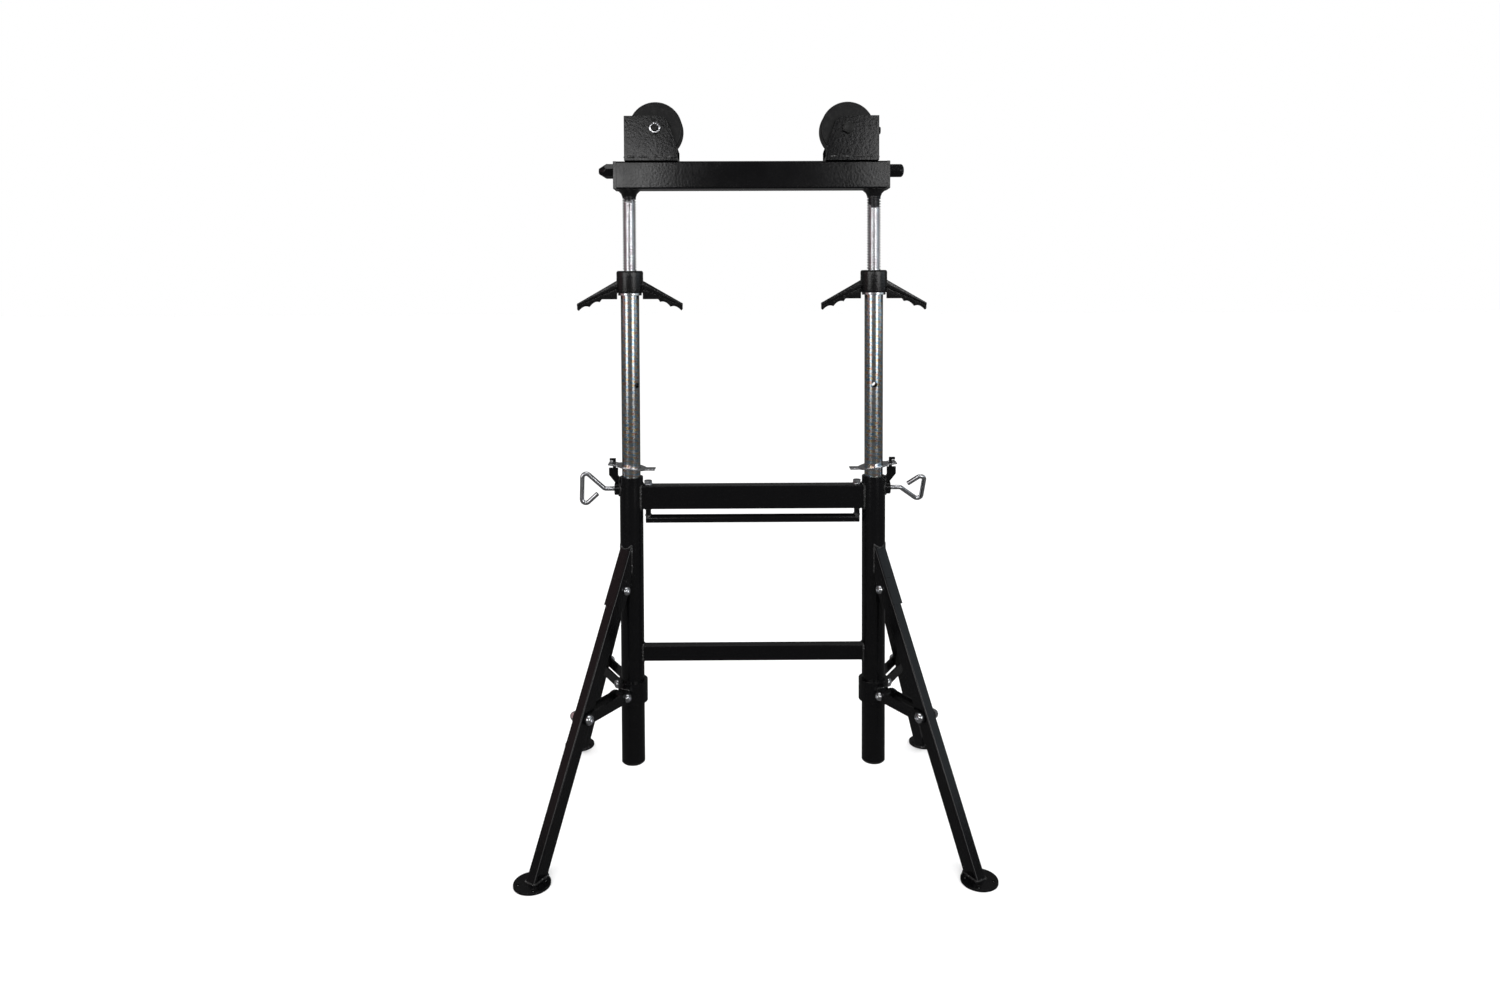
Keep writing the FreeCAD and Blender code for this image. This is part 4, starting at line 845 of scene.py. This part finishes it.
def handleWelds():
    low, high = boxOf("handle_rod")
    beads = []
    for k, side in enumerate(sides.values()):
        end = side * high[0]
        for height, width in ((high[2] - 0.6, 13.0), (low[2] + 15.5, 12.0)):
            outline = loop(9.5, width, 1.0, 4)
            level = np.full(len(outline), height)
            path = np.stack([outline[:, 0] + end - side * 4.6, outline[:, 1], level], -1)
            beads.append(weldBead(path, bead["handle"], True, 40 + k, 2.0))
    return beads


def hookWelds(side, seed):
    foot = boxOf("hook_plates")[0][2]
    beads = []
    for face in (-1, 1):
        z = np.linspace(foot + 1.5, posts[side][1][2] - 2, 12)
        x = np.full(12, postX[side] + sides[side] * (postRadius + 0.2))
        path = np.stack([x, np.full(12, face * bead["hookHalf"]), z], -1)
        beads.append(weldBead(path, bead["hook"], False, seed + face, 2.0))
    return beads


def makeFrameWelds():
    beads = handleWelds()
    for k, side in enumerate(sides):
        beads.append(crossbarWeld("upper_crossbar", side, 3 + k))
        beads.append(crossbarWeld("lower_crossbar", side, 7 + k))
        beads.append(bossWeld(side, 11 + k))
        beads += hookWelds(side, 20 + 4 * k)
    beads += [stubWeld(name, 30 + k) for k, name in enumerate(legNames)]
    item = build("frameWelds", beads, weldFinish, 60)
    attach(item, "frame", "black_enamel")


handleBolt = {"fromEnd": 8.4, "flats": 14.0, "rise": 6.6, "turn": 0.35, "washer": 1.6}


def makeHandleBolts():
    end = boxOf("handle_bolts")[1][0]
    top = boxOf("upper_crossbar")[1][2]
    parts = []
    for side in sides.values():
        centre = (side * (end - handleBolt["fromEnd"]), 0, top)
        parts += hexHead(centre, up, handleBolt["flats"], handleBolt["rise"], handleBolt["turn"] * side,
                         handleBolt["washer"])
    item = build("handleBoltHeads", parts, finishes["bright_zinc"], 28)
    attach(item, "frame", "bright_zinc", "handle_bolts")


makePosts()
makeFrameWelds()
makeHandleBolts()
rounded("handle_rod", 0.8, "handleGrip")
rounded("hook_plates", 0.5, "hookPlates")
rounded("clamp_bosses", 0.8, "clampBosses")
rounded("leg_stubs", 0.5, "hingeStubs")
print("frame is made")


# legs, feet, braces and collars


def makeHingeBolts():
    parts = []
    for k, leg in enumerate(legs.values()):
        reach, height = leg.hinge
        half = legSize["sleeveHalf"]
        head = leg.at(reach, leg.head * half, height)
        parts += socketHead(head, leg.across * leg.head, bolt["hingeRadius"], bolt["hingeRise"],
                            bolt["key"], 0.4 * k)
        parts += lockNut(leg.at(reach, -leg.head * half, height), -leg.across * leg.head, 0.3 * k)
    item = build("hingeBolts", parts, finishes["bright_zinc"], 28)
    attach(item, "frame", "bright_zinc", "hinge_bolts")


def makeBraceBolts():
    for k, (name, leg) in enumerate(legs.items()):
        height = legSize["braceBolt"]
        reach = legReach(height)
        half = legSize["braceHalf"]
        head = leg.at(reach, leg.head * half, height)
        parts = socketHead(head, leg.across * leg.head, bolt["braceRadius"], bolt["braceRise"],
                           bolt["braceKey"], 0.5 * k)
        parts += lockNut(leg.at(reach, -leg.head * half, height), -leg.across * leg.head, 0.2 * k)
        for face in (-1, 1):
            shank = [(0, -4.3), (bolt["shank"], -4.3), (bolt["shank"], 0.5), (0, 0.5)]
            parts.append(turned(shank, leg.at(reach, face * half, height), leg.across * face, 32))
        item = build(name + "BraceBolt", parts, finishes["bright_zinc"], 28)
        attach(item, name + "_brace", "bright_zinc", name + "_brace_bolt")


def makeCollars():
    for side in sides:
        parts, beads = [], []
        for k, name in enumerate([name for name in legNames if name.startswith(side)]):
            leg = legs[name]
            reach, height = leg.collar
            half = legSize["braceHalf"]
            head = leg.at(reach, leg.head * half, height)
            parts += socketHead(head, leg.across * leg.head, bolt["collarRadius"], bolt["collarRise"],
                                bolt["key"], 0.7 * k)
            parts += lockNut(leg.at(reach, -leg.head * half, height), -leg.across * leg.head, 0.1 * k)
            shank = [(0, -34.0), (bolt["shank"], -34.0), (bolt["shank"], 0.5), (0, 0.5)]
            parts.append(turned(shank, head, leg.across * leg.head, 32))
            outline = loop(20.5, 18.5, 1.0)
            offset = np.sqrt(bead["collarRing"] ** 2 - outline[:, 0] ** 2) + 0.3
            path = leg.at(offset, outline[:, 0], outline[:, 1] + height)
            beads.append(weldBead(path, bead["collar"], True, 60 + k))
        bolts = build(side + "CollarBolts", parts, finishes["bright_zinc"], 28)
        attach(bolts, side + "_collar", "bright_zinc", side + "_collar_bolts")
        attach(build(side + "CollarWelds", beads, weldFinish, 60), side + "_collar", "black_enamel")
        rounded(side + "_collar", 1.2, side + "CollarRing")


def makeFootWelds():
    for k, (name, leg) in enumerate(legs.items()):
        foot = boxOf(name + "_foot")
        outline = loop(legSize["depth"] / math.cos(legSize["tilt"]) + 1.0, legSize["width"] + 1.0, 3.0)
        height = foot[1][2] + 0.4
        path = leg.at(legReach(height) + outline[:, 0], outline[:, 1], height)
        item = build(name + "FootWeld", [weldBead(path, bead["foot"], True, 70 + k)], weldFinish, 60)
        attach(item, name + "_leg", "black_enamel")


makeHingeBolts()
makeBraceBolts()
makeCollars()
makeFootWelds()
for name in legNames:
    rounded(name + "_foot", 0.9, name + "FootPlate")
    rounded(name + "_brace", 0.6, name + "BraceBars")
    rounded(name + "_sleeve", 0.5, name + "HingeSleeve")
print("legs are made")


# masts, wing nuts and jack screws

wing = {"hub": 25.2, "start": 15.0, "webFrom": 24.4, "reach": 98.6, "top": 28.4, "slope": 0.5735,
        "band": 16.0, "web": 8.4, "bandAtHub": 15.0, "bandAtTip": 4.2, "level": 11.5, "round": 1.3,
        "scallop": 4.2,
        "teeth": [(53.0, -11.5), (57.0, -17.0), (76.0, -26.0), (96.0, -33.0), (98.6, -30.5)],
        "arches": [(57.0, 76.0), (76.0, 96.0)], "bore": 12.85}


def wingArm(base, turn):
    # a wide tapering band over a thin web, as closed cross-sections along the arm; under the web the edge is
    # level, then arches by the sine between its teeth
    reach = np.concatenate([np.linspace(wing["start"], wing["webFrom"] - 0.1, 6),
                            np.linspace(wing["webFrom"], 50, 12),
                            np.linspace(51, wing["reach"] - 0.6, 90), [wing["reach"]]])
    share = (reach - wing["start"]) / (wing["reach"] - wing["start"])
    top = base + wing["top"] - wing["slope"] * (reach - wing["start"])
    under = top - (wing["bandAtHub"] + (wing["bandAtTip"] - wing["bandAtHub"]) * share)
    teeth = np.array(wing["teeth"])
    edge = np.interp(reach, teeth[:, 0], teeth[:, 1])
    low = base + np.where(reach < teeth[0, 0], -wing["level"], edge)
    for start, stop in wing["arches"]:
        arch = np.clip((reach - start) / (stop - start), 0, 1)
        low = low + wing["scallop"] * np.sin(math.pi * arch) ** 0.8
    low = np.where(reach < wing["webFrom"], base + 1.5, low)
    wide = wing["band"] / 2 * (1 - 0.10 * share)
    thin = wing["web"] / 2 * np.ones_like(reach)
    soft = wing["round"]
    outline = [(wide - soft, top), (wide - soft * 0.3, top - soft * 0.3), (wide, top - soft),
               (wide, under + soft), (wide - soft * 0.3, under + soft * 0.3), (wide - soft, under),
               (thin + 0.7, under - 0.3), (thin, under - 1.0), (thin, low + soft),
               (thin - soft * 0.3, low + soft * 0.3), (thin - soft, low)]
    rows = [np.stack([reach, y * np.ones_like(reach), z * np.ones_like(reach)], -1) for y, z in outline]
    half = np.stack(rows, 1)
    mirrored = half[:, ::-1] * np.array([1.0, -1.0, 1.0])
    ring = np.concatenate([half, mirrored], 1)
    ring[-1, :, 1] *= 0.8
    centre = ring.mean(1, keepdims=True)
    first, last = [np.broadcast_to(centre[k], (1,) + ring.shape[1:]) for k in (0, -1)]
    return surface(np.concatenate([first, ring, last]) * np.array([turn, turn, 1.0]))


def makeWingNuts():
    for side in sides:
        base = boxOf(side + "_thrust_washer")[1][2]
        top = boxOf(side + "_wing_nut")[1][2]
        shift = np.array([postX[side], 0, 0])
        outer, bore = wing["hub"], wing["bore"]
        profile = [(bore + 0.8, base), (outer - 2, base), (outer - 0.4, base + 1), (outer, base + 3),
                   (outer - 0.4, top - 9), (outer - 0.2, top - 4), (outer - 0.6, top - 2), (outer - 2.4, top),
                   (bore + 2.2, top), (bore + 1.0, top - 1.2), (bore, top - 2.0), (bore, base + 0.8)]
        hub = surface(turned(profile, shift, steps=96)[0], True)
        arms = []
        for turn in (-1, 1):
            grid, closeRows, closeColumns = wingArm(base, turn)
            arms.append((grid + shift, closeRows, closeColumns))
        item = build(side + "WingNut", [hub] + arms, finishes["black_casting"], 40)
        attach(item, side + "_wing_nut", "black_casting", side + "_wing_nut")


jack = {"radius": 12.7, "depth": 2.4, "pitch": 5.08, "painted": {"left": 1.1495, "right": 1.136}}
flare = {"rings": 22, "steps": 72, "neck": 12.4, "spread": 10.2, "fall": 2.3, "drop": 15.5}


def makeJackScrews():
    low, high = boxOf("jack_screws")
    flares = []
    for side in sides:
        start = (postX[side], 0, low[2])
        length = high[2] - low[2] - 3
        thread = threadRod(start, up, jack["radius"], jack["depth"], jack["pitch"], length, 56, 12)
        zinc = threadedZinc(side + "ScrewZinc", jack["painted"][side])
        item = build(side + "JackScrew", [thread], zinc, 50)
        if side == "left":
            attach(item, "beam", "bright_zinc", "jack_screws")
        else:
            attach(item, "beam", "bright_zinc")
        # the flare's radius eases from the beam down to the screw, with lumps round and along it
        drop = np.linspace(0, 1, flare["rings"])
        angle = np.linspace(0, 2 * math.pi, flare["steps"], endpoint=False)
        lumps = 0.5 * np.sin(5 * angle + sides[side]) + 0.35 * np.sin(9 * angle + 2)
        radius = flare["neck"] + flare["spread"] * (1 - drop) ** flare["fall"]
        waves = 0.5 * np.abs(np.sin(7 * drop))
        radius = radius[:, None] + lumps[None, :] * (1 - drop[:, None]) + waves[:, None]
        ring = np.stack([np.cos(angle), np.sin(angle), 0 * angle], -1)
        height = high[2] - flare["drop"] * drop
        body = np.array([postX[side], 0, 0]) + radius[:, :, None] * ring + height[:, None, None] * up
        caps = [np.broadcast_to(body[k].mean(0), (1, flare["steps"], 3)) for k in (0, -1)]
        flares.append(surface(np.concatenate([caps[0], body, caps[1]])))
    attach(build("screwFlares", flares, finishes["black_casting"], 60), "beam", "black_enamel")


makeWingNuts()
makeJackScrews()
for side in sides:
    rounded(side + "_thrust_washer", 0.7, side + "ThrustWasher")
print("jacks are made")


# beam, spindle, rollers


spindleEnd = {"flats": 24.0, "length": 28.6, "leftHex": 14.5, "coneTip": 5.6, "coneLength": 13.3,
              "rightHex": 17.5, "dome": 11.0, "gap": 0.3}


def makeSpindleEnds():
    # the left end tapers to a small tip, and the right end is domed
    plate = boxOf("beam_end_plates")
    middle = boxOf("roller_spindle")
    height = (middle[0][2] + middle[1][2]) / 2
    flats, length = spindleEnd["flats"], spindleEnd["length"]
    leftHex, rightHex = spindleEnd["leftHex"], spindleEnd["rightHex"]
    corner = flats / math.sqrt(3)
    leftRows = [(0, 0), (10.5, 0), (10.8, 1.2), (corner, 1.6), (corner, 2.0), (corner, leftHex)]
    leftRows += [(corner - (corner - spindleEnd["coneTip"]) * t, leftHex + spindleEnd["coneLength"] * t)
                 for t in np.linspace(0.06, 1, 12)]
    leftRows += [(4.6, length), (0, length)]
    rightRows = [(0, 0), (corner, 0.3), (corner, 0.8), (corner, rightHex)]
    rightRows += [(corner * math.cos(t) ** 0.7, rightHex + spindleEnd["dome"] * math.sin(t))
                  for t in np.linspace(0.15, 1.5, 14)]
    rightRows += [(0, length)]
    reach = plate[1][0] + spindleEnd["gap"]
    parts = [hexSolid((-reach, 0, height), -toRight, flats, leftRows, 0.26),
             hexSolid((reach, 0, height), toRight, flats, rightRows, 0.12)]
    item = build("spindleEnds", parts, finishes["black_steel"], 28)
    attach(item, "spindle", "black_steel", "spindle_nuts")


def makeBeamWelds():
    tube = boxOf("beam_tube")
    middle = (tube[0][2] + tube[1][2]) / 2
    beads = []
    for k, side in enumerate(sides.values()):
        outline = loop(48.6, 48.6, 3.0)
        x = np.full(len(outline), side * tube[1][0])
        path = np.stack([x, outline[:, 0], outline[:, 1] + middle], -1)
        beads.append(weldBead(path, bead["beamEnd"], True, 80 + k, 2.2, 0.1))
    attach(build("beamEndWelds", beads, finishes["black_enamel"], 60), "beam", "black_enamel")


wheel = {"half": 25.0, "bore": 6.05, "boss": 12.6, "corner": 3.2, "crown": 0.35, "crownHalf": 20.0,
         "steps": 128}


def makeWheels():
    for side in sides:
        low, high = boxOf(side + "_wheel")
        centre = (low + high) / 2
        radius = (high[0] - low[0]) / 2
        half, hub = wheel["half"], (high[1] - low[1]) / 2
        boss, corner, wide = wheel["boss"], wheel["corner"], wheel["crownHalf"]
        face = [(wheel["bore"], hub), (boss - 1.1, hub), (boss - 0.4, hub - 0.6), (boss, hub - 1.6),
                (boss + 0.8, half), (radius - corner, half)]
        face += [(radius - corner + corner * math.sin(a), half - corner * (1 - math.cos(a)))
                 for a in np.linspace(0.2, 1.57, 7)]
        crown = [(radius - wheel["crown"] * (t / wide) ** 2, t) for t in np.linspace(wide, -wide, 9)]
        other = [(r, -z) for r, z in face[::-1]]
        body = surface(turned(face + crown + other, centre, toBack, wheel["steps"])[0], True)
        item = build(side + "Roller", [body], finishes["wheel_black"], 40)
        attach(item, side + "_wheel", "wheel_black", side + "_wheel")


axle = {"flats": 19.0, "head": 7.5, "radius": 6.0, "inset": 0.4, "threadRadius": 5.95, "threadDepth": 0.9,
        "pitch": 1.75, "threadLength": 12.4, "nutBore": 6.3, "nutCorner": 10.97}


def makeAxleBolts():
    for side, sign in sides.items():
        low, high = boxOf(side + "_wheel")
        centre = (low + high) / 2
        half = boxOf(side + "_roller_bracket")[1][1]
        facing = toBack * sign
        headAt = centre - facing * half
        nutAt = centre + facing * half
        slot = "bright_zinc" if side == "left" else "black_fastener"
        parts = hexHead(headAt, -facing, axle["flats"], axle["head"], 0.5)
        near, far, radius = axle["inset"], 2 * half - axle["inset"], axle["radius"]
        parts.append(turned([(0, near), (radius, near), (radius, far), (0, far)], headAt, facing, 40))
        bore, corner = axle["nutBore"], axle["nutCorner"]
        nut = [(bore, 0), (9.0, 0), (corner, 0.8), (corner, 6.6), (10.2, 7.2), (9.0, 7.5), (7.2, 7.5),
               (bore, 6.6)]
        nutGrid = hexSolid(nutAt, facing, axle["flats"], nut, 0.2)
        nutPiece = build(side + "AxleNut", [surface(nutGrid[0], True)], finishes[slot], 28)
        attach(nutPiece, side + "_carriage", slot)
        boltEnd = threadRod(nutAt - facing * 2, facing, axle["threadRadius"], axle["threadDepth"],
                            axle["pitch"], axle["threadLength"], 36, 8)
        item = build(side + "AxleBolt", parts, finishes[slot], 28)
        attach(item, side + "_carriage", slot, side + "_axle_bolt")
        endPiece = build(side + "AxleEnd", [boltEnd], finishes["black_fastener"], 50)
        attach(endPiece, side + "_carriage", "black_fastener")


tack = {"floor": 5.7, "starts": [92, 70, 45, 22], "shift": 2, "shortest": 15, "longest": 20}


def makeBracketWelds():
    for side, sign in sides.items():
        low, high = boxOf(side + "_roller_bracket")
        floor = low[2] + tack["floor"]
        outer = high[0] if sign > 0 else -low[0]
        beads = []
        for face in (-1, 1):
            draw = np.random.default_rng(5 + face + sign)
            starts = outer - np.array(tack["starts"]) + draw.uniform(-tack["shift"], tack["shift"], 4)
            for k, start in enumerate(starts):
                x = sign * np.linspace(start, start + draw.uniform(tack["shortest"], tack["longest"]), 16)
                sag = 0.7 * np.sin(np.linspace(0, 3.1, 16)) - 0.3
                path = np.stack([x, np.full(16, face * (high[1] - 0.2)), floor + 0.8 + sag], -1)
                beads.append(weldBead(path, bead["bracket"], False, 90 + k + face, 2.2, 0.25))
        y = np.linspace(low[1] + 3, high[1] - 3, 20)
        path = np.stack([np.full(20, sign * (outer - 0.3)), y, np.full(20, floor + 0.6)], -1)
        beads.append(weldBead(path, bead["bracketEnd"], False, 97))
        attach(build(side + "BracketWelds", beads, weldFinish, 60), side + "_carriage", "black_enamel")
        rounded(side + "_roller_bracket", 0.6, side + "RollerBracket")


brake = {"flats": 13.0, "head": 6.5, "radius": 3.95, "depth": 0.6, "pitch": 1.25}


def makeBrakeScrew():
    low, high = boxOf("brake_screw")
    height = (low[2] + high[2]) / 2
    wall = high[0] - brake["head"]
    parts = hexHead((wall, 0, height), toRight, brake["flats"], brake["head"], 0.26)
    parts.append(threadRod((low[0], 0, height), toRight, brake["radius"], brake["depth"], brake["pitch"],
                           wall - low[0], 32, 8))
    item = build("brakeScrew", parts, finishes["black_fastener"], 32)
    attach(item, "brake_screw", "black_fastener", "brake_screw")


makeSpindleEnds()
makeBeamWelds()
makeWheels()
makeAxleBolts()
makeBracketWelds()
makeBrakeScrew()
rounded("beam_end_plates", 0.8, "beamEndPlates")
print("rollers are made")


# lock plates and clamp screws

lock = {"rise": 3.2, "from": 28.0, "length": 18.0}


def makeLockPlates():
    for side, sign in sides.items():
        def bend(points, sign=sign, side=side):
            # the tongue curves up past the ring, by the square of the distance
            along = -sign * (points[:, 0] - postX[side]) - lock["from"]
            points[:, 2] += lock["rise"] * np.clip(along / lock["length"], 0, 1) ** 2
            return points
        rounded(side + "_lock_plate", 0.7, side + "LockPlate", bend)


clamp = {"radius": 4.3, "stem": 50.5, "corners": [(41.5, 37.0), (43.5, -37.0), (12.75, -8.88)], "bend": 7.4,
         "start": 17.6, "spin": 212.0, "threadDepth": 0.7, "pitch": 1.5, "threadLength": 26.0}


def bentPath(corners, radius):
    # straight runs with an arc of the given radius at each inner corner
    corners = [np.asarray(c, float) for c in corners]
    points = [corners[0]]
    for before, here, after in zip(corners, corners[1:], corners[2:]):
        back = (before - here) / np.linalg.norm(before - here)
        on = (after - here) / np.linalg.norm(after - here)
        half = math.acos(np.clip(np.dot(back, on), -1, 1)) / 2
        middle = (back + on) / np.linalg.norm(back + on)
        centre = here + middle * radius / math.sin(half)
        first = here + back * radius / math.tan(half) - centre
        last = here + on * radius / math.tan(half) - centre
        sweep = math.pi - 2 * half
        for share in np.linspace(0, 1, 12):
            mixed = first * math.sin((1 - share) * sweep) + last * math.sin(share * sweep)
            points.append(centre + mixed / math.sin(sweep))
    points.append(corners[-1])
    return np.array(points)


def makeClampScrews():
    boss = boxOf("clamp_bosses")
    height = (boss[0][2] + boss[1][2]) / 2
    for side, sign in sides.items():
        stem = clamp["stem"]
        route = [(clamp["start"], 0, 0), (stem, 0, 0)] + [(stem + x, 0, z) for x, z in clamp["corners"]]
        path = bentPath(route, clamp["bend"])
        spin = math.radians(clamp["spin"]) if sign > 0 else 0.0
        c, t = math.cos(spin), math.sin(spin)
        turnX = np.array([[1, 0, 0], [0, c, -t], [0, t, c]])
        facing = np.diag([sign, sign, 1.0])
        origin = np.array([postX[side], 0, height])
        smoothPath, travel = evenly(path, 1.0)
        placed = smoothPath @ turnX.T @ facing.T + origin
        ends = np.clip(np.minimum(travel, travel[-1] - travel) / 1.2, 0, 1)
        radius = (clamp["radius"] - 0.1) * np.sqrt(np.clip(1 - (1 - ends) ** 2, 0.12, 1))
        parts = [rod(placed, radius, steps=32)]
        start = origin + facing @ np.array([clamp["start"] + 1, 0, 0])
        parts.append(threadRod(start, toRight * sign, clamp["radius"], clamp["threadDepth"], clamp["pitch"],
                               clamp["threadLength"], 36, 8))
        item = build(side + "ClampScrew", parts, finishes["bright_zinc"], 45)
        attach(item, side + "_clamp_screw", "bright_zinc", side + "_clamp_screw")


makeLockPlates()
makeClampScrews()
print("locks are made")
